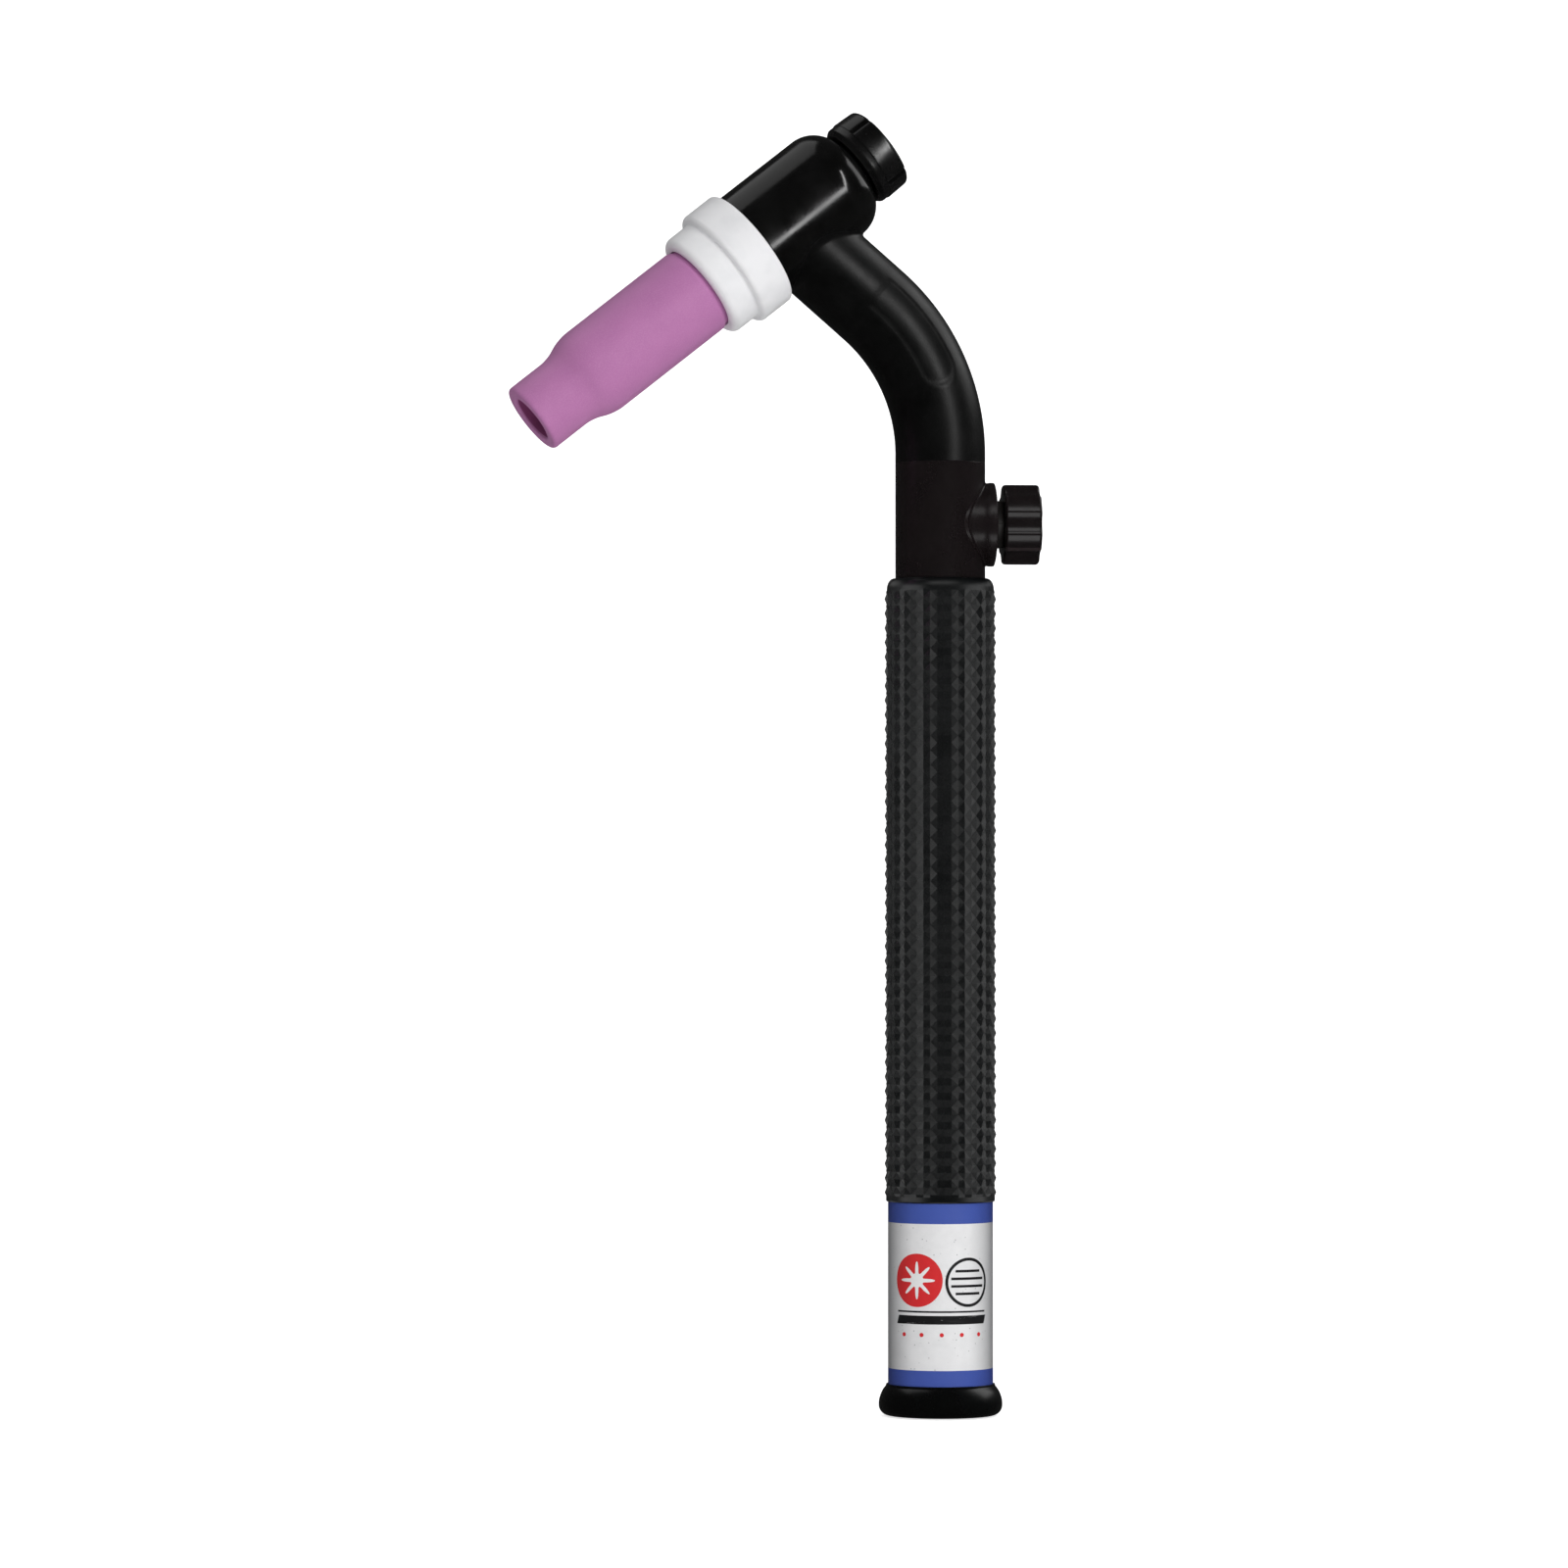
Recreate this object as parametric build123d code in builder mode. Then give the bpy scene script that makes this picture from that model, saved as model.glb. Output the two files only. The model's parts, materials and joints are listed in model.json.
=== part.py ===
from build123d import *
import os
from math import cos, radians, sin

# A gas-cooled TIG welding torch with a gas valve on its body.
#
# Frame: the origin is the centre of the handle's rear end, +Z runs up the handle, the cup points
# towards -X and down, and the valve knob stands out towards +X. Millimetres.
#
# Every turned piece is an outline of (station, radius) points spun about its own axis. Stations run up
# the handle from its rear end, back along the head from the cup's mouth, and out along the valve from
# the handle's axis. Threads are drawn as plain rings on the male side, in a smooth female bore.

os.makedirs("parts", exist_ok=True)

# Layout of the three axes
HEAD_TILT = 52.0  # degrees between the head's axis and the handle's
CROSSING_Z = 263.1  # height at which the two axes cross
REACH = 106.4  # from that crossing to the cup's mouth
VALVE_Z = 178.0  # height of the valve's axis
VALVE_TURN = 10.0  # degrees that the valve is turned out of the torch's plane, towards -Y
RUNNING = 0.05  # radial clearance of anything that turns or slides in a bore
LOOSE = 0.3  # radial gap where two pieces only have to clear each other

# Ringed threads: depth of the root and where the flat crest starts and ends, as parts of the pitch
THREAD_DEPTH, CREST_START, CREST_END = 0.35, 0.3, 0.55

# Handle, stations from its rear end
RING_R, RING_LIP_R, RING_Z, RING_LIP_Z = 12.35, 10.9, 5.5, 6.3
TUBE_FOOT_Z, TUBE_TOP_Z = 1.0, 165.9
TUBE_R, TUBE_BORE_R = 10.35, 8.2
ENTRY_R, ENTRY_TOP_Z = 8.0, 120.0  # the cable's way in, below the wider seat of the valve housing
LABEL_R, LABEL_TOP_Z = 10.5, 42.1
GRIP_R, GRIP_TUBE_R, GRIP_TOP_Z, GRIP_SHOULDER = 11.2, 9.9, 167.2, 2.0

# Valve housing and what hangs below it inside the handle
HOUSING_R, SEAM_Z = 9.0, 190.3
SPIGOT_FOOT_Z = 150.0
CORE_R, CORE_FOOT_Z, CORE_TOP_Z = 6.0, 160.0, 188.0
CORE_TAIL_R, CORE_TAIL_Z, CORE_BORE_R, CORE_BORE_TOP_Z = 4.0, 152.0, 3.0, 168.0
CORE_WELL_R = 7.2
TAIL_HEX_R, TAIL_HEX_Z = 6.6, 142.0
TAIL_STUB_R, TAIL_FOOT_Z, TAIL_BORE_R = 4.76, 126.0, 2.4
TAIL_PITCH = 1.06

# Valve, stations out from the handle's axis
BOSS_R, BOSS_FLARE_R, BOSS_FLARE, BOSS_DISC, BOSS_END = 7.7, 8.4, 7.5, 9.9, 10.75
BRANCH_R, CHAMBER_R, CHAMBER_START, GLAND_START = 5.2, 2.6, 2.2, 7.4
SEAT_R = 0.9
INLET_R, INLET_V, INLET_FOOT_Z = 1.3, 3.8, 166.0
GLAND_R, GLAND_HEAD_R, GLAND_END = 3.9, 5.35, 12.35
VALVE_PITCH = 0.8
STEM_R, STEM_END = 2.0, 12.9
NEEDLE_START, NEEDLE_POINT_R, NEEDLE_END, NEEDLE_R, STEM_START = 1.2, 0.35, 3.6, 1.4, 4.0
STEM_GROOVE_R, STEM_GROOVE_HALF = 1.35, 0.6
SHANK_R, SHANK_END = 1.75, 17.8
STEM_ORING_V, STEM_ORING_SECTION_R = 5.3, 0.575
KNOB_R, KNOB_START, KNOB_END = 8.0, 12.45, 19.95
FLUTES, FLUTE_R, FLUTE_DEPTH, KNOB_RIM = 6, 4.0, 1.0, 0.5
SCREW_HEAD_R, SCREW_R, SCREW_LENGTH = 2.0, 0.75, 3.4
SCREW_HEAD_HEIGHT, SCREW_SLOT_WIDTH, SCREW_SLOT_DEPTH = 1.3, 0.6, 0.6

# Neck
NECK_R, NECK_TUBE_R, NECK_TUBE_BORE_R = 9.0, 3.2, 2.2
BEND_START_Z, BEND_R, NECK_TURN = 192.0, 38.4, 50.0
NECK_TUBE_FOOT_Z = 183.5
NECK_SOCKET = 5.2  # distance from the head's axis at which the neck tube stops
PORT_R = 1.6

# Head, stations back from the cup's mouth
CUP_TIP_R, CUP_R, CUP_MOUTH_R, CUP_CHAMBER_R, CUP_LENGTH = 7.35, 9.2, 4.76, 5.9, 47.6
CUP_TIP_END, CUP_SHOULDER_END, CUP_THREAD_START = 8.8, 15.2, 36.0
CUP_THREAD_R, CUP_PITCH = 6.55, 1.6
CUP_THROAT_END, CUP_CHAMBER_FRONT = 14.0, 19.0
CUP_HEEL_R, CUP_HEEL_START, CUP_HEEL_END = 8.7, 42.2, 43.0  # the cup's rear end, slimmer for the gasket
GASKET_START, GASKET_STEP, GASKET_END = 43.2, 49.2, 56.85
GASKET_RING_R, GASKET_FLANGE_R, GASKET_BORE_R, HEEL_GAP = 11.3, 12.85, 6.8, 0.25
HEAD_R, HEAD_END, DOME_R = 11.5, 83.2, 6.5
HEAD_CORE_R, HEAD_CORE_START, HEAD_CORE_END = 7.0, 50.0, 81.5
NOSE_START, NOSE_END, NOSE_R, NOSE_BORE_R = 17.0, 18.0, 2.9, 1.3
BARREL_R, BARREL_END, COLLAR_R, COLLAR_START = 3.9, 35.5, 6.3, 46.3
BODY_THREAD_R, BODY_THREAD_END, BODY_TAIL_R, BODY_BORE_R = 4.95, 62.5, 4.4, 2.7
BODY_SEAT_START, BODY_SEAT_END, BODY_BORE_START = 20.0, 24.0, 26.5
GAS_HOLE_H, GAS_HOLE_R = 29.0, 0.9
GAS_CHAMBER_R, GAS_CHAMBER_START, GAS_CHAMBER_END = 3.0, 63.0, 70.5
CAP_THREAD_R, CAP_PITCH = 3.55, 1.06
COLLET_R, COLLET_BORE_R, COLLET_START, COLLET_END = 1.95, 1.25, 21.5, 71.5
COLLET_TIP_R, COLLET_CONE_END, COLLET_SLIT_WIDTH, COLLET_SLIT_LENGTH = 1.5, 24.0, 0.4, 18.0
ELECTRODE_R, ELECTRODE_TIP, ELECTRODE_END = 1.2, 5.5, 86.0
ELECTRODE_POINT, ELECTRODE_POINT_R = 5.0, 0.15
CAP_R, CAP_REAR_R, CAP_END, CAP_COLLAR = 8.95, 8.75, 90.45, 85.8
CAP_SLOTS, CAP_SLOT_WIDTH, CAP_SLOT_DEPTH = 4, 1.2, 0.9
CAP_ORING_H, CAP_ORING_SECTION_R, CAP_STEM_R = 82.4, 0.65, 3.4
CAP_FRONT_R, CAP_WELL_R, CAP_WELL_END = 8.0, 4.5, 87.0
CAP_BORE_R, CAP_BORE_END, JACKET_THROAT_R, INSERT_NOSE_R = 1.5, 88.5, 4.8, 2.8

REARWARD = Vector(sin(radians(HEAD_TILT)), 0, cos(radians(HEAD_TILT)))
MOUTH = Vector(0, 0, CROSSING_Z) - REARWARD * REACH
OUTWARD = Vector(cos(radians(VALVE_TURN)), -sin(radians(VALVE_TURN)), 0)
VALVE_CENTRE = Vector(0, 0, VALVE_Z)

# Section planes whose first coordinate runs along an axis and whose second is the radius
HANDLE_SECTION = Plane(origin=(0, 0, 0), x_dir=(0, 0, 1), z_dir=(0, 1, 0))
HEAD_SECTION = Plane(origin=MOUTH, x_dir=REARWARD, z_dir=(0, -1, 0))
VALVE_SECTION = Plane(origin=VALVE_CENTRE, x_dir=OUTWARD, z_dir=OUTWARD.cross(Vector(0, 0, 1)))
HEAD_AXIS = Axis(MOUTH, REARWARD)
VALVE_AXIS = Axis(VALVE_CENTRE, OUTWARD)


def across_head(station):
    """Plane square to the head's axis, with its X axis towards +Y."""
    return Plane(origin=MOUTH + REARWARD * station, x_dir=(0, 1, 0), z_dir=REARWARD)


def across_valve(station):
    """Plane square to the valve's axis, with its X axis straight up."""
    return Plane(origin=VALVE_CENTRE + OUTWARD * station, x_dir=(0, 0, 1), z_dir=OUTWARD)


def corner(outline, point):
    """The outline's corner nearest to a point, for rounding it."""
    return outline.vertices().sort_by_distance(point)[0]


def thread_rings(start, end, crest, pitch):
    """Outline points of a ringed thread from start to end, beginning and ending at its root."""
    root = crest - pitch * THREAD_DEPTH
    count = int((end - start) / pitch)
    points = []
    for turn in range(count):
        foot = start + turn * pitch
        crest_start, crest_end = foot + pitch * CREST_START, foot + pitch * CREST_END
        points += [(foot, root), (crest_start, crest), (crest_end, crest)]
    return points + [(start + count * pitch, root)]


def neck_line(foot_z, head_gap):
    """The neck's centre line from foot_z, round the bend, to head_gap short of the head's axis."""
    turn = radians(NECK_TURN)
    bend_end = Vector(-BEND_R * (1 - cos(turn)), 0, BEND_START_Z + BEND_R * sin(turn))
    heading = Vector(-sin(turn), 0, cos(turn))
    square_to_head = Vector(-REARWARD.Z, 0, REARWARD.X)
    run = (MOUTH - bend_end).dot(square_to_head) / heading.dot(square_to_head)
    with BuildLine(Plane.XZ) as line:
        rise = Line((0, foot_z), (0, BEND_START_Z))
        JernArc(start=rise @ 1, tangent=rise % 1, radius=BEND_R, arc_size=NECK_TURN)
        Line(bend_end, bend_end + heading * (run - head_gap))
    return line.line


NECK_END = neck_line(SEAM_Z, 0) @ 1
NECK_HEADING = neck_line(SEAM_Z, 0) % 1

# ---------------------------------------------------------------------------------------- front end

# Alumina cup: narrow tip, ogee shoulder, plain barrel, with a wide chamber and a threaded rear inside
with BuildPart() as nozzle_cup:
    with BuildSketch(HEAD_SECTION) as cup_outline:
        with BuildLine():
            tip = Line((0, CUP_TIP_R), (CUP_TIP_END, CUP_TIP_R))
            shoulder = Spline(
                tip @ 1,
                (CUP_SHOULDER_END, CUP_R),
                tangents=[(1, 0), (1, 0)],
                tangent_scalars=[1.3, 1.3],
            )
            Polyline(
                (CUP_SHOULDER_END, CUP_R),
                (CUP_HEEL_START, CUP_R),
                (CUP_HEEL_END, CUP_HEEL_R),
                (CUP_LENGTH, CUP_HEEL_R),
                (CUP_LENGTH, CUP_THREAD_R + RUNNING),
                (CUP_THREAD_START, CUP_THREAD_R + RUNNING),
                (CUP_THREAD_START - 1, CUP_CHAMBER_R),
                (CUP_CHAMBER_FRONT, CUP_CHAMBER_R),
                (CUP_THROAT_END, CUP_MOUTH_R),
                (0, CUP_MOUTH_R),
                (0, CUP_TIP_R),
            )
        make_face()
        fillet(corner(cup_outline, (0, CUP_TIP_R)), 0.5)
        fillet(corner(cup_outline, (0, CUP_MOUTH_R)), 0.4)
    revolve(axis=HEAD_AXIS)
nozzle_cup.part.label = "nozzle_cup"
export_step(nozzle_cup.part, "parts/nozzle_cup.step")

# PTFE gasket: a front ring that the cup's rear end drops into and a wider flange against the head
with BuildPart() as cup_gasket:
    with BuildSketch(HEAD_SECTION) as gasket_outline:
        with BuildLine():
            Polyline(
                (GASKET_START, CUP_HEEL_R + HEEL_GAP),
                (GASKET_START, GASKET_RING_R),
                (GASKET_STEP, GASKET_RING_R),
                (GASKET_STEP, GASKET_FLANGE_R),
                (GASKET_END, GASKET_FLANGE_R),
                (GASKET_END, HEAD_CORE_R + LOOSE),
                (HEAD_CORE_START, HEAD_CORE_R + LOOSE),
                (HEAD_CORE_START, GASKET_BORE_R),
                (CUP_LENGTH, GASKET_BORE_R),
                (CUP_LENGTH, CUP_HEEL_R + HEEL_GAP),
                close=True,
            )
        make_face()
        fillet(corner(gasket_outline, (GASKET_START, GASKET_RING_R)), 1.2)
        fillet(corner(gasket_outline, (GASKET_STEP, GASKET_FLANGE_R)), 1.0)
        fillet(corner(gasket_outline, (GASKET_END, GASKET_FLANGE_R)), 0.8)
    revolve(axis=HEAD_AXIS)
cup_gasket.part.label = "cup_gasket"
export_step(cup_gasket.part, "parts/cup_gasket.step")

# Collet body: slim nose with four gas holes, collar with the cup's thread, rear thread for the head
with BuildPart() as collet_body:
    with BuildSketch(HEAD_SECTION):
        with BuildLine():
            Polyline(
                (NOSE_START, NOSE_BORE_R),
                (NOSE_START, NOSE_R),
                (NOSE_END, BARREL_R),
                (BARREL_END, BARREL_R),
                *thread_rings(CUP_THREAD_START + 0.5, COLLAR_START - 0.3, CUP_THREAD_R, CUP_PITCH),
                (COLLAR_START, COLLAR_R),
                (HEAD_CORE_START, COLLAR_R),
                *thread_rings(HEAD_CORE_START, BODY_THREAD_END - 0.8, BODY_THREAD_R, CAP_PITCH),
                (BODY_THREAD_END, BODY_TAIL_R),
                (BODY_THREAD_END, BODY_BORE_R),
                (BODY_BORE_START, BODY_BORE_R),
                (BODY_BORE_START - 0.7, COLLET_R + 2 * RUNNING),
                (BODY_SEAT_END, COLLET_R + 2 * RUNNING),
                (BODY_SEAT_START, NOSE_BORE_R),
                close=True,
            )
        make_face()
    revolve(axis=HEAD_AXIS)
    gas_holes = MOUTH + REARWARD * GAS_HOLE_H
    with BuildSketch(Plane(origin=gas_holes, x_dir=REARWARD, z_dir=(0, 1, 0))):
        Circle(GAS_HOLE_R)
    extrude(amount=BARREL_R + 1, both=True, mode=Mode.SUBTRACT)
    with BuildSketch(Plane(origin=gas_holes, x_dir=(0, 1, 0), z_dir=HEAD_SECTION.y_dir)):
        Circle(GAS_HOLE_R)
    extrude(amount=BARREL_R + 1, both=True, mode=Mode.SUBTRACT)
collet_body.part.label = "collet_body"
export_step(collet_body.part, "parts/collet_body.step")

# Collet: a thin tube, coned and slit crosswise at its front
with BuildPart() as collet:
    with BuildSketch(HEAD_SECTION):
        with BuildLine():
            Polyline(
                (COLLET_START, COLLET_BORE_R),
                (COLLET_START, COLLET_TIP_R),
                (COLLET_CONE_END, COLLET_R),
                (COLLET_END, COLLET_R),
                (COLLET_END, COLLET_BORE_R),
                close=True,
            )
        make_face()
    revolve(axis=HEAD_AXIS)
    with BuildSketch(across_head(COLLET_START)):
        Rectangle(COLLET_SLIT_WIDTH, 3 * COLLET_R)
        Rectangle(3 * COLLET_R, COLLET_SLIT_WIDTH)
    extrude(amount=COLLET_SLIT_LENGTH, mode=Mode.SUBTRACT)
collet.part.label = "collet"
export_step(collet.part, "parts/collet.step")

# Tungsten electrode with a ground point
with BuildPart() as tungsten_electrode:
    with BuildSketch(HEAD_SECTION):
        with BuildLine():
            Polyline(
                (ELECTRODE_TIP, 0),
                (ELECTRODE_TIP, ELECTRODE_POINT_R),
                (ELECTRODE_TIP + ELECTRODE_POINT, ELECTRODE_R),
                (ELECTRODE_END, ELECTRODE_R),
                (ELECTRODE_END, 0),
                close=True,
            )
        make_face()
    revolve(axis=HEAD_AXIS)
tungsten_electrode.part.label = "tungsten_electrode"
export_step(tungsten_electrode.part, "parts/tungsten_electrode.step")

# --------------------------------------------------------------------------------------------- head

# Brass barrel with a thread bore at each end, and a socket and gas port for the neck tube
with BuildPart() as head_core:
    with BuildSketch(HEAD_SECTION):
        with BuildLine():
            Polyline(
                (HEAD_CORE_START, HEAD_CORE_R),
                (HEAD_CORE_END, HEAD_CORE_R),
                (HEAD_CORE_END, CAP_THREAD_R + RUNNING),
                (GAS_CHAMBER_END, CAP_THREAD_R + RUNNING),
                (GAS_CHAMBER_END, GAS_CHAMBER_R),
                (GAS_CHAMBER_START, GAS_CHAMBER_R),
                (GAS_CHAMBER_START, BODY_THREAD_R + RUNNING),
                (HEAD_CORE_START, BODY_THREAD_R + RUNNING),
                close=True,
            )
        make_face()
    revolve(axis=HEAD_AXIS)
    with BuildSketch(Plane(origin=NECK_END - NECK_HEADING * NECK_SOCKET, z_dir=-NECK_HEADING)):
        Circle(NECK_TUBE_R)
    extrude(amount=HEAD_R, mode=Mode.SUBTRACT)
    with BuildSketch(Plane(origin=NECK_END, z_dir=-NECK_HEADING)):
        Circle(PORT_R)
    extrude(amount=HEAD_R, mode=Mode.SUBTRACT)
head_core.part.label = "head_core"
export_step(head_core.part, "parts/head_core.step")

# Moulded barrel round the brass, domed at its rear
with BuildPart() as head_jacket:
    with BuildSketch(HEAD_SECTION) as jacket_outline:
        with BuildLine():
            Polyline(
                (GASKET_END, HEAD_CORE_R),
                (GASKET_END, HEAD_R),
                (HEAD_END, HEAD_R),
                (HEAD_END, JACKET_THROAT_R),
                (HEAD_CORE_END, JACKET_THROAT_R),
                (HEAD_CORE_END, HEAD_CORE_R),
                close=True,
            )
        make_face()
        fillet(corner(jacket_outline, (HEAD_END, HEAD_R)), DOME_R)
    revolve(axis=HEAD_AXIS)
    with BuildSketch(Plane(origin=NECK_END, z_dir=-NECK_HEADING)):
        Circle(NECK_TUBE_R)
    extrude(amount=2 * HEAD_R, mode=Mode.SUBTRACT)
head_jacket.part.label = "head_jacket"
export_step(head_jacket.part, "parts/head_jacket.step")

# Short back cap: bevelled smooth collar in front, slotted rim behind, blind bore for the electrode
with BuildPart() as back_cap:
    with BuildSketch(HEAD_SECTION) as cap_outline:
        with BuildLine():
            Polyline(
                (HEAD_END, CAP_WELL_R),
                (HEAD_END, CAP_FRONT_R),
                (HEAD_END + 1, CAP_R),
                (CAP_COLLAR, CAP_R),
                (CAP_END, CAP_REAR_R),
                (CAP_END, 0),
                (CAP_BORE_END, 0),
                (CAP_BORE_END, CAP_BORE_R),
                (CAP_WELL_END, CAP_BORE_R),
                (CAP_WELL_END, CAP_WELL_R),
                close=True,
            )
        make_face()
        fillet(corner(cap_outline, (CAP_END, CAP_REAR_R)), 0.6)
    revolve(axis=HEAD_AXIS)
    with BuildSketch(across_head(CAP_COLLAR)):
        with PolarLocations(CAP_R, CAP_SLOTS, start_angle=45):
            Rectangle(2 * CAP_SLOT_DEPTH, CAP_SLOT_WIDTH)
    extrude(amount=CAP_END - CAP_COLLAR, mode=Mode.SUBTRACT)
back_cap.part.label = "back_cap"
export_step(back_cap.part, "parts/back_cap.step")

# Brass stem moulded into the back cap: its thread draws it into the head and its end pushes the collet
with BuildPart() as back_cap_insert:
    with BuildSketch(HEAD_SECTION):
        with BuildLine():
            Polyline(
                (COLLET_END, CAP_BORE_R),
                (COLLET_END, INSERT_NOSE_R),
                *thread_rings(COLLET_END + 0.8, HEAD_CORE_END - 0.5, CAP_THREAD_R, CAP_PITCH),
                (HEAD_CORE_END, CAP_STEM_R),
                (HEAD_END, CAP_STEM_R),
                (HEAD_END, CAP_WELL_R),
                (CAP_WELL_END, CAP_WELL_R),
                (CAP_WELL_END, CAP_BORE_R),
                close=True,
            )
        make_face()
    revolve(axis=HEAD_AXIS)
back_cap_insert.part.label = "back_cap_insert"
export_step(back_cap_insert.part, "parts/back_cap_insert.step")

# O-ring on the back cap's stem
with BuildPart() as back_cap_oring:
    with BuildSketch(HEAD_SECTION):
        with Locations((CAP_ORING_H, CAP_STEM_R + RUNNING + CAP_ORING_SECTION_R)):
            Circle(CAP_ORING_SECTION_R)
    revolve(axis=HEAD_AXIS)
back_cap_oring.part.label = "back_cap_oring"
export_step(back_cap_oring.part, "parts/back_cap_oring.step")

# --------------------------------------------------------------------------------------------- neck

# Copper pipe that carries gas and current from the valve to the head
with BuildPart() as neck_tube:
    with BuildSketch(Plane.XY.offset(NECK_TUBE_FOOT_Z)):
        Circle(NECK_TUBE_R)
        Circle(NECK_TUBE_BORE_R, mode=Mode.SUBTRACT)
    sweep(path=neck_line(NECK_TUBE_FOOT_Z, NECK_SOCKET))
neck_tube.part.label = "neck_tube"
export_step(neck_tube.part, "parts/neck_tube.step")

# Rubber moulding round the pipe, its upper end saddled on the head's barrel
with BuildPart() as neck_jacket:
    with BuildSketch(Plane.XY.offset(SEAM_Z)):
        Circle(NECK_R)
        Circle(NECK_TUBE_R, mode=Mode.SUBTRACT)
    sweep(path=neck_line(SEAM_Z, NECK_SOCKET))
    with BuildSketch(across_head(GASKET_END - 5)):
        Circle(HEAD_R)
    extrude(amount=HEAD_END - GASKET_END + 10, mode=Mode.SUBTRACT)
neck_jacket.part.label = "neck_jacket"
export_step(neck_jacket.part, "parts/neck_jacket.step")

# -------------------------------------------------------------------------------------------- valve

# Brass block: socket for the neck tube above, tail spigot below, side branch for the needle
with BuildPart() as valve_core:
    with BuildSketch(HANDLE_SECTION):
        with BuildLine():
            Polyline(
                (CORE_TAIL_Z, CORE_BORE_R),
                (CORE_TAIL_Z, CORE_TAIL_R),
                (CORE_FOOT_Z, CORE_TAIL_R),
                (CORE_FOOT_Z, CORE_R),
                (CORE_TOP_Z, CORE_R),
                (CORE_TOP_Z, NECK_TUBE_R),
                (NECK_TUBE_FOOT_Z, NECK_TUBE_R),
                (NECK_TUBE_FOOT_Z, 0),
                (CORE_BORE_TOP_Z, 0),
                (CORE_BORE_TOP_Z, CORE_BORE_R),
                close=True,
            )
        make_face()
    revolve(axis=Axis.Z)
    with BuildSketch(across_valve(0)):
        Circle(BRANCH_R)
    extrude(amount=BOSS_END)
    with BuildSketch(VALVE_SECTION):
        with BuildLine():
            Polyline(
                (0, 0),
                (0, SEAT_R),
                (CHAMBER_START, SEAT_R),
                (CHAMBER_START, CHAMBER_R),
                (GLAND_START, CHAMBER_R),
                (GLAND_START, GLAND_R),
                (BOSS_END, GLAND_R),
                (BOSS_END, 0),
                close=True,
            )
        make_face()
    revolve(axis=VALVE_AXIS, mode=Mode.SUBTRACT)
    # outlet passage up to the neck tube, and inlet passage from the tail into the needle's chamber
    with BuildSketch(Plane.XY.offset(VALVE_Z)):
        Circle(PORT_R)
    extrude(amount=NECK_TUBE_FOOT_Z - VALVE_Z, mode=Mode.SUBTRACT)
    with BuildSketch(Plane(origin=OUTWARD * INLET_V + Vector(0, 0, INLET_FOOT_Z), z_dir=(0, 0, 1))):
        Circle(INLET_R)
    extrude(amount=VALVE_Z - INLET_FOOT_Z, mode=Mode.SUBTRACT)
valve_core.part.label = "valve_core"
export_step(valve_core.part, "parts/valve_core.step")

# Moulding round the block: plain barrel, spigot inside the handle, round boss that flares to a disc
with BuildPart() as valve_housing:
    with BuildSketch(HANDLE_SECTION):
        with BuildLine():
            Polyline(
                (SPIGOT_FOOT_Z, 0),
                (SPIGOT_FOOT_Z, TUBE_BORE_R),
                (TUBE_TOP_Z, TUBE_BORE_R),
                (TUBE_TOP_Z, HOUSING_R),
                (SEAM_Z, HOUSING_R),
                (SEAM_Z, 0),
                close=True,
            )
        make_face()
    revolve(axis=Axis.Z)
    with BuildSketch(VALVE_SECTION):
        with BuildLine():
            Polyline(
                (0, 0),
                (0, BOSS_R),
                (BOSS_FLARE, BOSS_R),
                (BOSS_DISC, BOSS_FLARE_R),
                (BOSS_END, BOSS_FLARE_R),
                (BOSS_END, 0),
                close=True,
            )
        make_face()
    revolve(axis=VALVE_AXIS)
    with BuildSketch(HANDLE_SECTION):
        with BuildLine():
            Polyline(
                (SPIGOT_FOOT_Z, 0),
                (SPIGOT_FOOT_Z, CORE_WELL_R),
                (CORE_FOOT_Z, CORE_WELL_R),
                (CORE_FOOT_Z, CORE_R),
                (CORE_TOP_Z, CORE_R),
                (CORE_TOP_Z, NECK_TUBE_R),
                (SEAM_Z, NECK_TUBE_R),
                (SEAM_Z, 0),
                close=True,
            )
        make_face()
    revolve(axis=Axis.Z, mode=Mode.SUBTRACT)
    with BuildSketch(across_valve(0)):
        Circle(BRANCH_R)
    extrude(amount=BOSS_END, mode=Mode.SUBTRACT)
valve_housing.part.label = "valve_housing"
export_step(valve_housing.part, "parts/valve_housing.step")

# Gland nut: threaded into the branch, its hexagon shows between the boss and the knob
with BuildPart() as valve_gland_nut:
    with BuildSketch(VALVE_SECTION):
        with BuildLine():
            Polyline(
                (GLAND_START, STEM_R + RUNNING),
                *thread_rings(GLAND_START, BOSS_END - 0.3, GLAND_R, VALVE_PITCH),
                (BOSS_END, GLAND_R - 0.4),
                (BOSS_END, STEM_R + RUNNING),
                close=True,
            )
        make_face()
    revolve(axis=VALVE_AXIS)
    with BuildSketch(across_valve(BOSS_END)):
        RegularPolygon(GLAND_HEAD_R, 6)
        Circle(STEM_R + RUNNING, mode=Mode.SUBTRACT)
    extrude(amount=GLAND_END - BOSS_END)
valve_gland_nut.part.label = "valve_gland_nut"
export_step(valve_gland_nut.part, "parts/valve_gland_nut.step")

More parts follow.
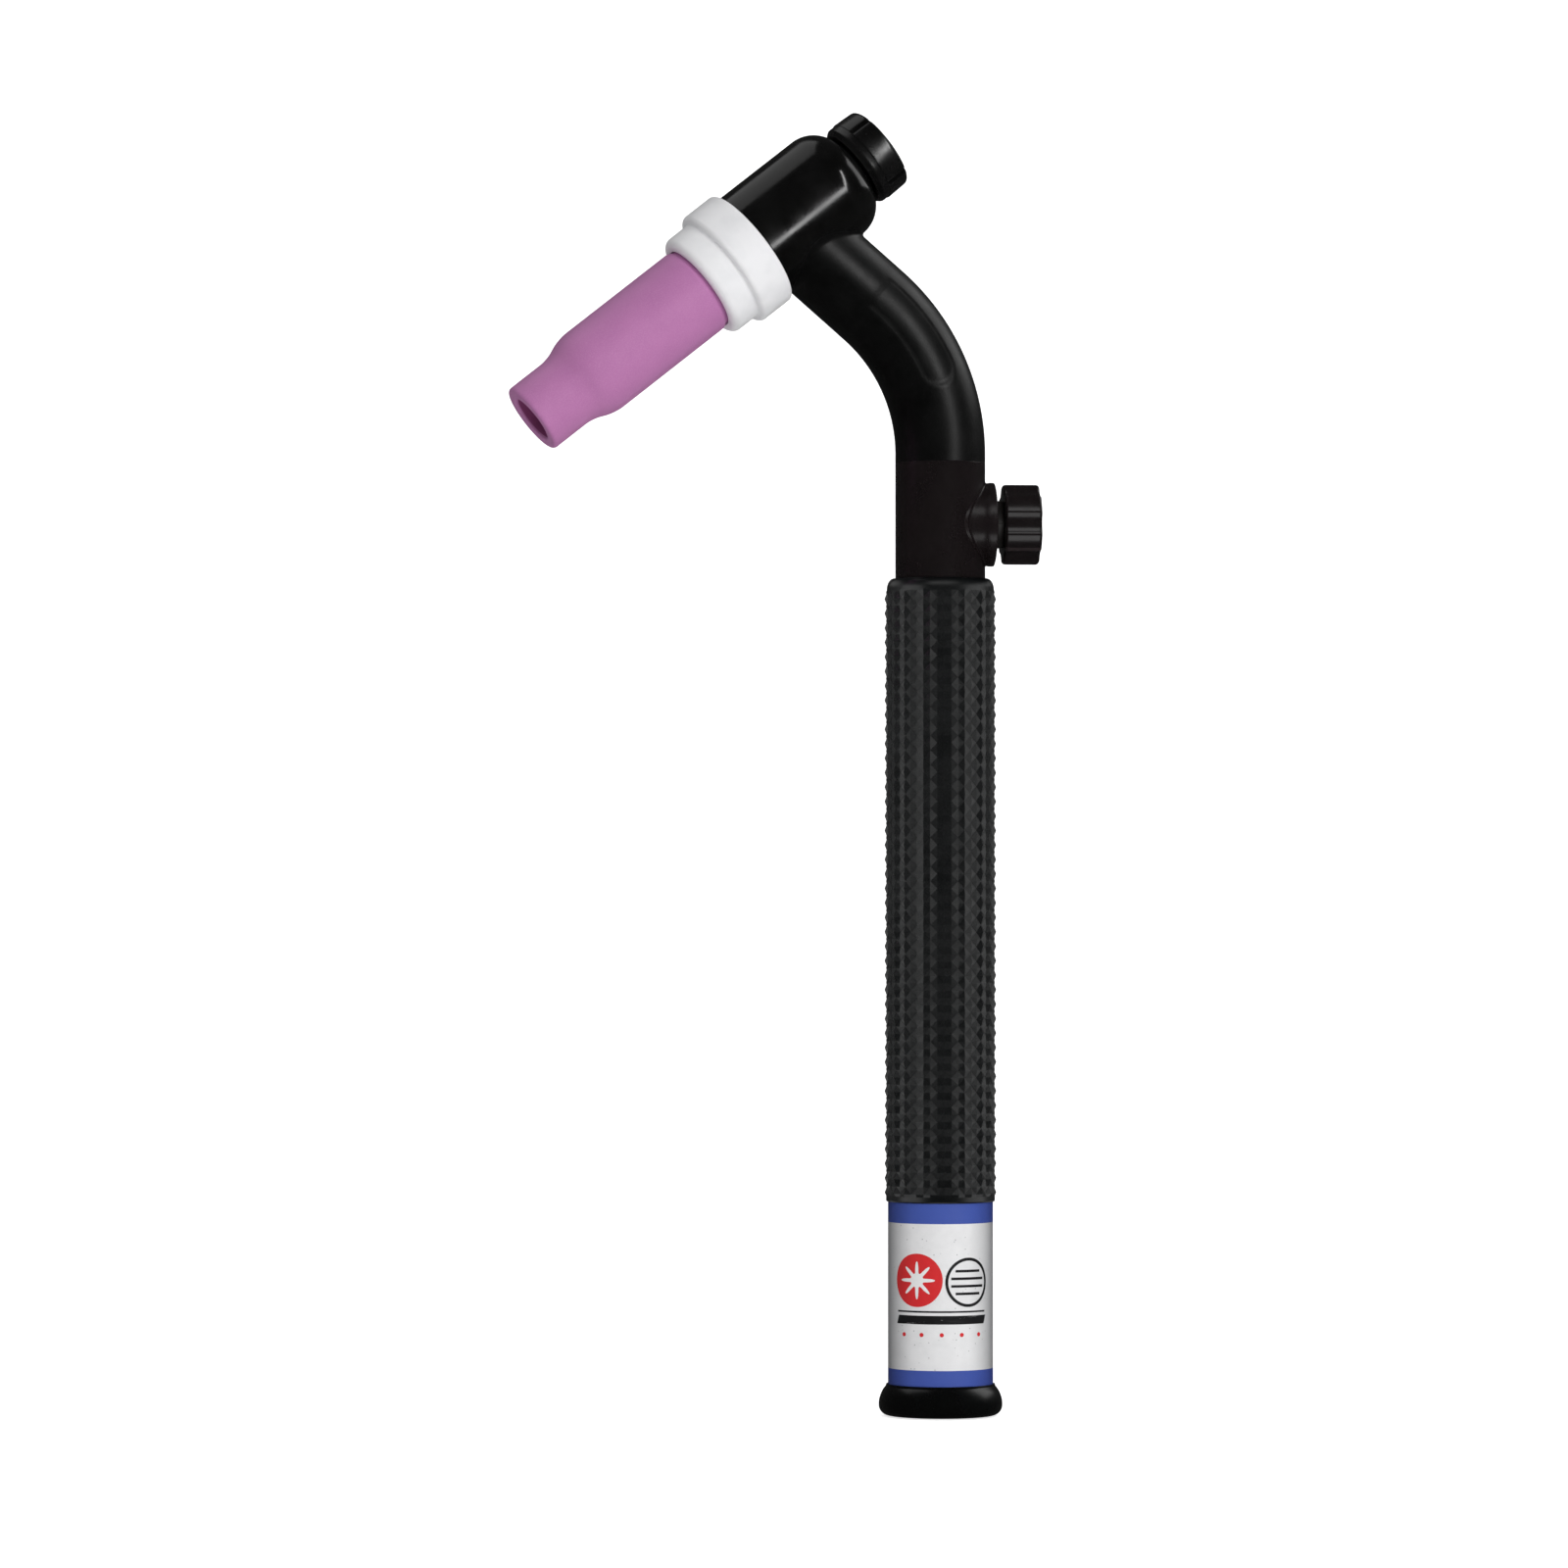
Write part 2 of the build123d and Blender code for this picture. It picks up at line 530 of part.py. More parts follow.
# Needle: fine point in the seat, groove for its O-ring, threaded stem, plain shank for the knob
with BuildPart() as valve_spindle:
    with BuildSketch(VALVE_SECTION):
        with BuildLine():
            Polyline(
                (NEEDLE_START, 0),
                (NEEDLE_START, NEEDLE_POINT_R),
                (CHAMBER_START, SEAT_R - RUNNING),
                (NEEDLE_END, NEEDLE_R),
                (STEM_START, STEM_R),
                (STEM_ORING_V - STEM_GROOVE_HALF, STEM_R),
                (STEM_ORING_V - STEM_GROOVE_HALF, STEM_GROOVE_R),
                (STEM_ORING_V + STEM_GROOVE_HALF, STEM_GROOVE_R),
                (STEM_ORING_V + STEM_GROOVE_HALF, STEM_R),
                *thread_rings(GLAND_START, STEM_END - 0.4, STEM_R, VALVE_PITCH),
                (STEM_END, SHANK_R),
                (SHANK_END, SHANK_R),
                (SHANK_END, SCREW_R),
                (SHANK_END - SCREW_LENGTH, SCREW_R),
                (SHANK_END - SCREW_LENGTH, 0),
                close=True,
            )
        make_face()
    revolve(axis=VALVE_AXIS)
valve_spindle.part.label = "valve_spindle"
export_step(valve_spindle.part, "parts/valve_spindle.step")

# O-ring on the needle's stem
with BuildPart() as valve_stem_oring:
    with BuildSketch(VALVE_SECTION):
        with Locations((STEM_ORING_V, STEM_GROOVE_R + RUNNING + STEM_ORING_SECTION_R)):
            Circle(STEM_ORING_SECTION_R)
    revolve(axis=VALVE_AXIS)
valve_stem_oring.part.label = "valve_stem_oring"
export_step(valve_stem_oring.part, "parts/valve_stem_oring.step")

# Knob with six finger flutes, pushed on the shank, recessed at its end for the screw
with BuildPart() as valve_knob:
    with BuildSketch(across_valve(KNOB_START)):
        Circle(KNOB_R)
        with PolarLocations(KNOB_R + FLUTE_R - FLUTE_DEPTH, FLUTES, start_angle=30):
            Circle(FLUTE_R, mode=Mode.SUBTRACT)
    extrude(amount=KNOB_END - KNOB_START)
    rims = valve_knob.faces().filter_by(GeomType.PLANE).edges()
    chamfer(rims, KNOB_RIM)
    with BuildSketch(across_valve(KNOB_START)):
        Circle(SHANK_R)
    extrude(amount=SHANK_END - KNOB_START, mode=Mode.SUBTRACT)
    with BuildSketch(across_valve(KNOB_START)):
        Circle(STEM_R + LOOSE)
    extrude(amount=STEM_END - KNOB_START, mode=Mode.SUBTRACT)
    with BuildSketch(across_valve(SHANK_END)):
        Circle(SCREW_HEAD_R + LOOSE)
    extrude(amount=KNOB_END - SHANK_END, mode=Mode.SUBTRACT)
valve_knob.part.label = "valve_knob"
export_step(valve_knob.part, "parts/valve_knob.step")

# Slotted screw that holds the knob on
with BuildPart() as knob_screw:
    with BuildSketch(VALVE_SECTION) as screw_outline:
        with BuildLine():
            Polyline(
                (SHANK_END - SCREW_LENGTH + 0.4, 0),
                (SHANK_END - SCREW_LENGTH + 0.4, SCREW_R),
                (SHANK_END, SCREW_R),
                (SHANK_END, SCREW_HEAD_R),
                (SHANK_END + SCREW_HEAD_HEIGHT, SCREW_HEAD_R),
                (SHANK_END + SCREW_HEAD_HEIGHT, 0),
                close=True,
            )
        make_face()
        fillet(corner(screw_outline, (SHANK_END + SCREW_HEAD_HEIGHT, SCREW_HEAD_R)), 0.5)
    revolve(axis=VALVE_AXIS)
    with BuildSketch(across_valve(SHANK_END + SCREW_HEAD_HEIGHT)):
        Rectangle(3 * SCREW_HEAD_R, SCREW_SLOT_WIDTH)
    extrude(amount=-SCREW_SLOT_DEPTH, mode=Mode.SUBTRACT)
knob_screw.part.label = "knob_screw"
export_step(knob_screw.part, "parts/knob_screw.step")

# ------------------------------------------------------------------------------------------- handle

# Rigid tube, stepped down where the rubber sleeve covers it
with BuildPart() as handle_tube:
    with BuildSketch(HANDLE_SECTION):
        with BuildLine():
            Polyline(
                (TUBE_FOOT_Z, ENTRY_R),
                (TUBE_FOOT_Z, TUBE_R),
                (LABEL_TOP_Z, TUBE_R),
                (LABEL_TOP_Z, GRIP_TUBE_R),
                (TUBE_TOP_Z, GRIP_TUBE_R),
                (TUBE_TOP_Z, TUBE_BORE_R),
                (ENTRY_TOP_Z, TUBE_BORE_R),
                (ENTRY_TOP_Z, ENTRY_R),
                close=True,
            )
        make_face()
    revolve(axis=Axis.Z)
handle_tube.part.label = "handle_tube"
export_step(handle_tube.part, "parts/handle_tube.step")

# Rubber sleeve, turned in over the tube's front end
with BuildPart() as grip_sleeve:
    with BuildSketch(HANDLE_SECTION) as sleeve_outline:
        with BuildLine():
            Polyline(
                (LABEL_TOP_Z, GRIP_TUBE_R),
                (LABEL_TOP_Z, GRIP_R),
                (GRIP_TOP_Z, GRIP_R),
                (GRIP_TOP_Z, HOUSING_R),
                (TUBE_TOP_Z, HOUSING_R),
                (TUBE_TOP_Z, GRIP_TUBE_R),
                close=True,
            )
        make_face()
        fillet(corner(sleeve_outline, (GRIP_TOP_Z, GRIP_R)), GRIP_SHOULDER)
    revolve(axis=Axis.Z)
grip_sleeve.part.label = "grip_sleeve"
export_step(grip_sleeve.part, "parts/grip_sleeve.step")

# Printed film round the rear of the tube
with BuildPart() as label_wrap:
    with BuildSketch(Plane.XY.offset(RING_LIP_Z)):
        Circle(LABEL_R)
        Circle(TUBE_R, mode=Mode.SUBTRACT)
    extrude(amount=LABEL_TOP_Z - RING_LIP_Z)
label_wrap.part.label = "label_wrap"
export_step(label_wrap.part, "parts/label_wrap.step")

# Rounded ring pressed over the tube's rear end, with a small lip against the label
with BuildPart() as end_ring:
    with BuildSketch(HANDLE_SECTION) as ring_outline:
        with BuildLine():
            Polyline(
                (0, ENTRY_R),
                (0, RING_R),
                (RING_Z, RING_R),
                (RING_Z, RING_LIP_R),
                (RING_LIP_Z, RING_LIP_R),
                (RING_LIP_Z, TUBE_R),
                (TUBE_FOOT_Z, TUBE_R),
                (TUBE_FOOT_Z, ENTRY_R),
                close=True,
            )
        make_face()
        fillet(corner(ring_outline, (0, RING_R)), 2.4)
        fillet(corner(ring_outline, (RING_Z, RING_R)), 1.2)
    revolve(axis=Axis.Z)
end_ring.part.label = "end_ring"
export_step(end_ring.part, "parts/end_ring.step")

# Brass adapter on the valve block's tail: hexagon above, threaded stub for the power cable below
with BuildPart() as tail_fitting:
    with BuildSketch(Plane.XY.offset(TAIL_HEX_Z)):
        RegularPolygon(TAIL_HEX_R, 6)
    extrude(amount=CORE_FOOT_Z - TAIL_HEX_Z - 1)
    with BuildSketch(HANDLE_SECTION):
        with BuildLine():
            Polyline(
                (TAIL_FOOT_Z, 0),
                (TAIL_FOOT_Z, TAIL_STUB_R - 0.6),
                *thread_rings(TAIL_FOOT_Z + 0.6, TAIL_HEX_Z - 0.5, TAIL_STUB_R, TAIL_PITCH),
                (TAIL_HEX_Z, TAIL_STUB_R - 0.4),
                (TAIL_HEX_Z, 0),
                close=True,
            )
        make_face()
    revolve(axis=Axis.Z)
    with BuildSketch(Plane.XY.offset(TAIL_FOOT_Z)):
        Circle(TAIL_BORE_R)
    extrude(amount=CORE_FOOT_Z - TAIL_FOOT_Z, mode=Mode.SUBTRACT)
    with BuildSketch(Plane.XY.offset(CORE_TAIL_Z)):
        Circle(CORE_TAIL_R)
    extrude(amount=CORE_FOOT_Z - CORE_TAIL_Z, mode=Mode.SUBTRACT)
tail_fitting.part.label = "tail_fitting"
export_step(tail_fitting.part, "parts/tail_fitting.step")
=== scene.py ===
import json
import logging
from dataclasses import dataclass
from enum import Enum
from functools import cache, partial
from math import asin, atan2, cos, pi, radians, sin, sqrt, tau
from typing import Callable, Sequence

import bmesh
import bpy
from bmesh.types import BMesh, BMEdge, BMFace, BMVert
from mathutils import Euler, Matrix, Vector

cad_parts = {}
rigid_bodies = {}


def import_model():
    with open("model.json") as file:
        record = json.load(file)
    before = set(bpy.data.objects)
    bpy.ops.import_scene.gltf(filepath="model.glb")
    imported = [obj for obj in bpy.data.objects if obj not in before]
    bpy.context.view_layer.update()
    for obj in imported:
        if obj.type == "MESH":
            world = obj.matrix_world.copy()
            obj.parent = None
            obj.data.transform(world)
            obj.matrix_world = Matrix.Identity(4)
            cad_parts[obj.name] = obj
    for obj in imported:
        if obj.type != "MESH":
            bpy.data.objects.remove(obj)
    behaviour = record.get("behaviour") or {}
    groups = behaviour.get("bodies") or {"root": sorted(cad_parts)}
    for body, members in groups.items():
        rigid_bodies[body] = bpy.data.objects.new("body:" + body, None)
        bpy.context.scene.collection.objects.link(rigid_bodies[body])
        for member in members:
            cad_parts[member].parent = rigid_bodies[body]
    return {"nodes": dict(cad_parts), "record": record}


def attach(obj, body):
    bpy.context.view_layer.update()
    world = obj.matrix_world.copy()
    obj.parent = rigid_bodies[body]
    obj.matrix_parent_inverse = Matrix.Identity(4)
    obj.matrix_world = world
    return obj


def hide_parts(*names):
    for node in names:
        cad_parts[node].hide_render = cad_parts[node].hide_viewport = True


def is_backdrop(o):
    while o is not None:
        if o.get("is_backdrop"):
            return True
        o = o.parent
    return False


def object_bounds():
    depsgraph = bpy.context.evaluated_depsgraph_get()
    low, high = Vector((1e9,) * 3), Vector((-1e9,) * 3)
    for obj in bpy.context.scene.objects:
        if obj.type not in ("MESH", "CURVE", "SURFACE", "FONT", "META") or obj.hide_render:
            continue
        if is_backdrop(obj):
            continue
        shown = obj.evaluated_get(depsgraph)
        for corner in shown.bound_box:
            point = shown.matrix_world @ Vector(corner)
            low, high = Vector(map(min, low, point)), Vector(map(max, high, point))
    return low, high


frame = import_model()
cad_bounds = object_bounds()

# A gas-cooled TIG welding torch. Sizes are in millimetres; every piece is built about its own axis with
# stations along local Z, and its shaft turns it into its place in metres.

log = logging.getLogger("torch")
MILLIMETRE = 0.001
SHARP_ANGLE = radians(36)
LEVEL_SIDE = Vector((0, 1, 0))
# vertices nearer than this, in millimetres, are one
WELD = 1e-4
CAMERA_PLACE = Vector((-0.3669, -1.2747, 0.109))
CAMERA_BACK = Vector((-0.2538, -0.967, 0.0))
# angle about the handle at which the print faces the camera
FACING = atan2(CAMERA_BACK.y, CAMERA_BACK.x)
PRINTED = ("printed_film", "red_", "white_", "dark_", "ring_bar", "light_rule", "heavy_rule")

Place = Callable[[int], Vector]
NodeMaker = Callable[..., bpy.types.Node]


class Body(Enum):
    """The moving bodies that pieces ride on."""

    TORCH = "torch_body"
    GASKET = "gasket"
    CUP = "cup"
    CAP_CARRIER = "cap_carrier"
    BACK_CAP = "back_cap"
    ELECTRODE = "electrode"
    STEM_SEAL = "stem_seal"
    VALVE_STEM = "valve_stem"


class End(Enum):
    """Which end of a stack of rings an operation works on."""

    FIRST = 0
    LAST = 1


def linear(hex_colour: str, alpha: float = 1.0) -> tuple[float, float, float, float]:
    """Turn an sRGB hex colour into linear values.

    Args:
        hex_colour: Six digits with a leading hash.
        alpha: Opacity to append.

    Returns:
        Linear red, green and blue, and the opacity.
    """
    digits = hex_colour.lstrip("#")
    shares = [int(digits[place : place + 2], 16) / 255 for place in (0, 2, 4)]
    red, green, blue = (c / 12.92 if c <= 0.04045 else ((c + 0.055) / 1.055) ** 2.4 for c in shares)
    return red, green, blue, alpha


def per_metre(size_mm: float) -> float:
    """How many times a pattern of that size in millimetres repeats in a metre."""
    return 1000.0 / size_mm


# ------------------------------------------------------------------------------------------- places


@dataclass(frozen=True)
class Shaft:
    """An axis that pieces are turned about.

    Attributes:
        origin: Station zero, in metres.
        direction: Unit vector towards higher stations.
    """

    origin: Vector
    direction: Vector

    @property
    def side(self) -> Vector:
        """The direction that a piece's local X takes: square to the shaft, in the torch's plane."""
        return LEVEL_SIDE.cross(self.direction).normalized()

    def matrix(self) -> Matrix:
        """Return the transform from local millimetres to the shared frame in metres."""
        x, z = self.side, self.direction
        y = z.cross(x)
        turn = Matrix((x, y, z)).transposed().to_4x4()
        return Matrix.Translation(self.origin) @ turn @ Matrix.Scale(MILLIMETRE, 4)

    def pattern_turn(self) -> Euler:
        """Return the turn that lines a pattern's Z up with the shaft, for a Mapping node of type TEXTURE."""
        return self.matrix().to_3x3().normalized().to_euler()

    @staticmethod
    def from_joint(joint_name: str, station_mm: float, reverse: bool = False) -> "Shaft":
        """Read a shaft from a hinge of the frame.

        Args:
            joint_name: The hinge.
            station_mm: Station at which the hinge's point lies.
            reverse: Whether stations run against the hinge's axis.

        Returns:
            The shaft with its origin at station zero.
        """
        joint = next(j for j in frame["record"]["behaviour"]["joints"] if j["name"] == joint_name)
        direction = Vector(joint["axis"]).normalized() * (-1 if reverse else 1)
        return Shaft(Vector(joint["pos_m"]) - direction * station_mm * MILLIMETRE, direction)


HANDLE = Shaft(Vector((0, 0, 0)), Vector((0, 0, 1)))
HEAD = Shaft.from_joint("cup_turn", 0.0, reverse=True)
VALVE = Shaft.from_joint("valve_turn", 15.0)


@dataclass(frozen=True)
class Label:
    """Where a finished piece belongs in the model.

    Attributes:
        name: The piece's own name.
        body: The body it moves with.
        slot: The record's material slot.
        replaces: Frame nodes that it stands for.
    """

    name: str
    body: Body
    slot: str
    replaces: tuple[str, ...] = ()


# ----------------------------------------------------------------------------------------- finishes


def add_node(tree: bpy.types.NodeTree, kind: str, settings: dict | None = None,
             links: dict | None = None) -> bpy.types.Node:
    """Add a node with its settings and links.

    Args:
        tree: The material's or world's node tree.
        kind: The node's type name without its leading ShaderNode.
        settings: Values by property name, or by input name or number.
        links: What feeds each input, by its name or number: a socket, or a node whose first output is meant.

    Returns:
        The new node.
    """
    node = tree.nodes.new("ShaderNode" + kind)
    for key, value in (settings or {}).items():
        if isinstance(key, str) and hasattr(node, key):
            setattr(node, key, value)
        else:
            node.inputs[key].default_value = value
    for key, source in (links or {}).items():
        if isinstance(source, bpy.types.Node):
            source = next(socket for socket in source.outputs if socket.enabled)
        tree.links.new(source, node.inputs[key])
    return node


class Finish:
    """What all finishes share: a material with a Principled shader, filled in by the kind of surface."""

    name: str

    @cache
    def material(self) -> bpy.types.Material:
        """Return the finish's material, made on first use."""
        material = bpy.data.materials.new(self.name)
        material.use_nodes = True
        material.node_tree.nodes.clear()
        node = partial(add_node, material.node_tree)
        spot = node("TexCoord").outputs["Object"]
        node("OutputMaterial", links={"Surface": self.paint(node, spot)})
        return material

    def paint(self, node: NodeMaker, spot: bpy.types.NodeSocket) -> bpy.types.Node:
        """Build the surface.

        Args:
            node: Adds a node to the material's tree.
            spot: Object coordinates, in metres.

        Returns:
            The shader.
        """
        raise NotImplementedError


@dataclass(frozen=True)
class MouldedPlastic(Finish):
    """Black phenolic, nylon or rubber pressed in a steel mould.

    Attributes:
        name: Material name.
        colour: Body colour.
        bloom: Paler colour of handled patches and dust.
        roughness: Mean roughness.
        grain_mm: Size of the mould's fine texture.
        grain_depth_mm: Height of that texture.
        wear: How much paler worn edges are, 0 to 1.
        specular: Reflection strength; 0.5 is an ordinary plastic.
    """

    name: str
    colour: str
    bloom: str
    roughness: float
    grain_mm: float
    grain_depth_mm: float
    wear: float = 0.35
    specular: float = 0.5

    def paint(self, node: NodeMaker, spot: bpy.types.NodeSocket) -> bpy.types.Node:
        """Mould grain, faint flow marks, hairline scuffs, specks of dust and paler worn edges."""
        grain = node("TexNoise", {"Scale": per_metre(self.grain_mm), "Detail": 3.0}, {"Vector": spot})
        # cloudy patches about 9 mm across, where the mould was polished unevenly and fingers rest
        cloud = node("TexNoise", {"Scale": per_metre(9.0), "Detail": 4.0, "Roughness": 0.6}, {"Vector": spot})
        # hairline scuffs: 0.25 mm wide and about 5 mm long, leaning across the axes
        stretch = (per_metre(0.25), per_metre(5.0), per_metre(5.0))
        lean = node("Mapping", {"Rotation": (0.4, 0.7, 0.3), "Scale": stretch}, {"Vector": spot})
        hair = node("TexNoise", {"Scale": 1.0, "Detail": 2.0, "Distortion": 0.4}, {"Vector": lean})
        scuff = node("MapRange", {"From Min": 0.66, "From Max": 0.78}, {"Value": hair})
        # dust specks 0.12 mm across, a few to the square centimetre
        dots = node("TexVoronoi", {"Scale": per_metre(1.7)}, {"Vector": spot})
        speck = node("MapRange", {"From Min": 0.075, "From Max": 0.05}, {"Value": dots})
        edge = node("NewGeometry").outputs["Pointiness"]
        worn = node("MapRange", {"From Min": 0.52, "From Max": 0.62, "To Max": self.wear}, {"Value": edge})
        pale = node("Math", {"operation": "MULTIPLY_ADD", 1: 0.45}, {0: speck, 2: worn})
        marks = node("Math", {"operation": "MULTIPLY_ADD", 1: 0.12, "use_clamp": True}, {0: scuff, 2: pale})
        patch = node("MapRange", {"From Min": 0.35, "From Max": 0.75, "To Min": 0.0, "To Max": 0.16},
                     {"Value": cloud})
        share = node("Math", {"operation": "ADD", "use_clamp": True}, {0: marks, 1: patch})
        colour = node("Mix", {"data_type": "RGBA", 6: linear(self.colour), 7: linear(self.bloom)}, {0: share})
        low, high = self.roughness - 0.05, self.roughness + 0.07
        dull = node("MapRange", {"From Min": 0.3, "From Max": 0.7, "To Min": low, "To Max": high},
                    {"Value": cloud})
        duller = node("Math", {"operation": "MULTIPLY_ADD", 1: 0.12}, {0: marks, 2: dull})
        bump = node("Bump", {"Strength": 0.6, "Distance": self.grain_depth_mm * MILLIMETRE}, {"Height": grain})
        return node("BsdfPrincipled", {"IOR": 1.5, "Specular IOR Level": self.specular},
                    {"Base Color": colour, "Roughness": duller, "Normal": bump})


@dataclass(frozen=True)
class FiredAlumina(Finish):
    """Slip-cast and fired pink alumina: matte, chalky, with a fine sandy tooth.

    Attributes:
        name: Material name.
        colour: Body colour.
        light: Paler colour of the grain's tops.
        dark: Deeper colour of faint clouds.
    """

    name: str
    colour: str
    light: str
    dark: str

    def paint(self, node: NodeMaker, spot: bpy.types.NodeSocket) -> bpy.types.Node:
        """Sandy tooth of 0.22 mm, soft firing clouds of 7 mm and sparse darker specks."""
        light, dark = linear(self.light), linear(self.dark)
        tooth = node("TexNoise", {"Scale": per_metre(0.22), "Detail": 2.0}, {"Vector": spot})
        cloud = node("TexNoise", {"Scale": per_metre(7.0), "Detail": 5.0}, {"Vector": spot})
        clouded = node("MapRange", {"From Min": 0.35, "From Max": 0.7, "To Max": 0.35}, {"Value": cloud})
        base = node("Mix", {"data_type": "RGBA", 6: linear(self.colour), 7: dark}, {0: clouded})
        lit = node("MapRange", {"From Min": 0.45, "From Max": 0.75, "To Max": 0.35}, {"Value": tooth})
        grained = node("Mix", {"data_type": "RGBA", 7: light}, {0: lit, 6: base})
        dots = node("TexVoronoi", {"Scale": per_metre(1.9)}, {"Vector": spot})
        speck = node("MapRange", {"From Min": 0.09, "From Max": 0.05, "To Max": 0.35}, {"Value": dots})
        colour = node("Mix", {"data_type": "RGBA", 7: dark}, {0: speck, 6: grained})
        dull = node("MapRange", {"To Min": 0.58, "To Max": 0.74}, {"Value": cloud})
        bump = node("Bump", {"Strength": 0.5, "Distance": 0.02 * MILLIMETRE}, {"Height": tooth})
        return node("BsdfPrincipled", {"IOR": 1.6}, {"Base Color": colour, "Roughness": dull, "Normal": bump})


@dataclass(frozen=True)
class Turned(Finish):
    """What finishes cut on a lathe share.

    Attributes:
        name: Material name.
        colour: Clean colour.
        tarnish: Colour of its clouds or oxidised patches.
        shaft: The axis it was turned about.
    """

    name: str
    colour: str
    tarnish: str
    shaft: Shaft

    def __hash__(self) -> int:
        """Hash by name, because vectors have no hash."""
        return hash(self.name)

    def tool_rings(self, node: NodeMaker, spot: bpy.types.NodeSocket, size_mm: float, feed_mm: float,
                   detail: float) -> bpy.types.Node:
        """Draw tool marks round the shaft.

        Args:
            node: Adds a node to the material's tree.
            spot: Object coordinates.
            size_mm: Length of the marks.
            feed_mm: Distance between them.
            detail: Octaves of noise.

        Returns:
            The marks' noise.
        """
        along = node("Mapping", {"vector_type": "TEXTURE", "Location": self.shaft.origin,
                                 "Rotation": self.shaft.pattern_turn()}, {"Vector": spot})
        scale = (per_metre(size_mm), per_metre(size_mm), per_metre(feed_mm))
        stretch = node("VectorMath", {"operation": "MULTIPLY", 1: scale}, {0: along})
        return node("TexNoise", {"Scale": 1.0, "Detail": detail}, {"Vector": stretch})


@dataclass(frozen=True)
class TurnedPtfe(Turned):
    """White PTFE turned from bar: waxy, slightly translucent, with fine tool rings."""

    __hash__ = Turned.__hash__

    def paint(self, node: NodeMaker, spot: bpy.types.NodeSocket) -> bpy.types.Node:
        """Tool rings 0.18 mm apart and cloudy tone 5 mm across."""
        rings = self.tool_rings(node, spot, 20.0, 0.18, 1.0)
        cloud = node("TexNoise", {"Scale": per_metre(5.0), "Detail": 4.0}, {"Vector": spot})
        share = node("MapRange", {"From Min": 0.45, "From Max": 0.8, "To Max": 0.5}, {"Value": cloud})
        colour = node("Mix", {"data_type": "RGBA", 6: linear(self.colour), 7: linear(self.tarnish)}, {0: share})
        dull = node("MapRange", {"To Min": 0.34, "To Max": 0.5}, {"Value": cloud})
        bump = node("Bump", {"Strength": 0.35, "Distance": 0.008 * MILLIMETRE}, {"Height": rings})
        return node("BsdfPrincipled",
                    {"IOR": 1.35, "Subsurface Weight": 0.15, "Subsurface Radius": (0.0012, 0.0012, 0.0012),
                     "Subsurface Scale": 1.0}, {"Base Color": colour, "Roughness": dull, "Normal": bump})


@dataclass(frozen=True)
class TurnedMetal(Turned):
    """Metal turned on a lathe: rings of tool marks and a slight tarnish.

    Attributes:
        roughness: Mean roughness.
        feed_mm: Distance between tool marks.
    """

    roughness: float
    feed_mm: float
    __hash__ = Turned.__hash__

    def paint(self, node: NodeMaker, spot: bpy.types.NodeSocket) -> bpy.types.Node:
        """Tool marks round the shaft and tarnish in patches of 4 mm."""
        rings = self.tool_rings(node, spot, 15.0, self.feed_mm, 2.0)
        patch = node("TexNoise", {"Scale": per_metre(4.0), "Detail": 5.0}, {"Vector": spot})
        share = node("MapRange", {"From Min": 0.45, "From Max": 0.7, "To Max": 0.7}, {"Value": patch})
        colour = node("Mix", {"data_type": "RGBA", 6: linear(self.colour), 7: linear(self.tarnish)}, {0: share})
        dull = node("MapRange", {"To Min": self.roughness - 0.06, "To Max": self.roughness + 0.12},
                    {"Value": rings})
        bump = node("Bump", {"Strength": 0.5, "Distance": 0.01 * MILLIMETRE}, {"Height": rings})
        return node("BsdfPrincipled", {"Metallic": 1.0},
                    {"Base Color": colour, "Roughness": dull, "Normal": bump})


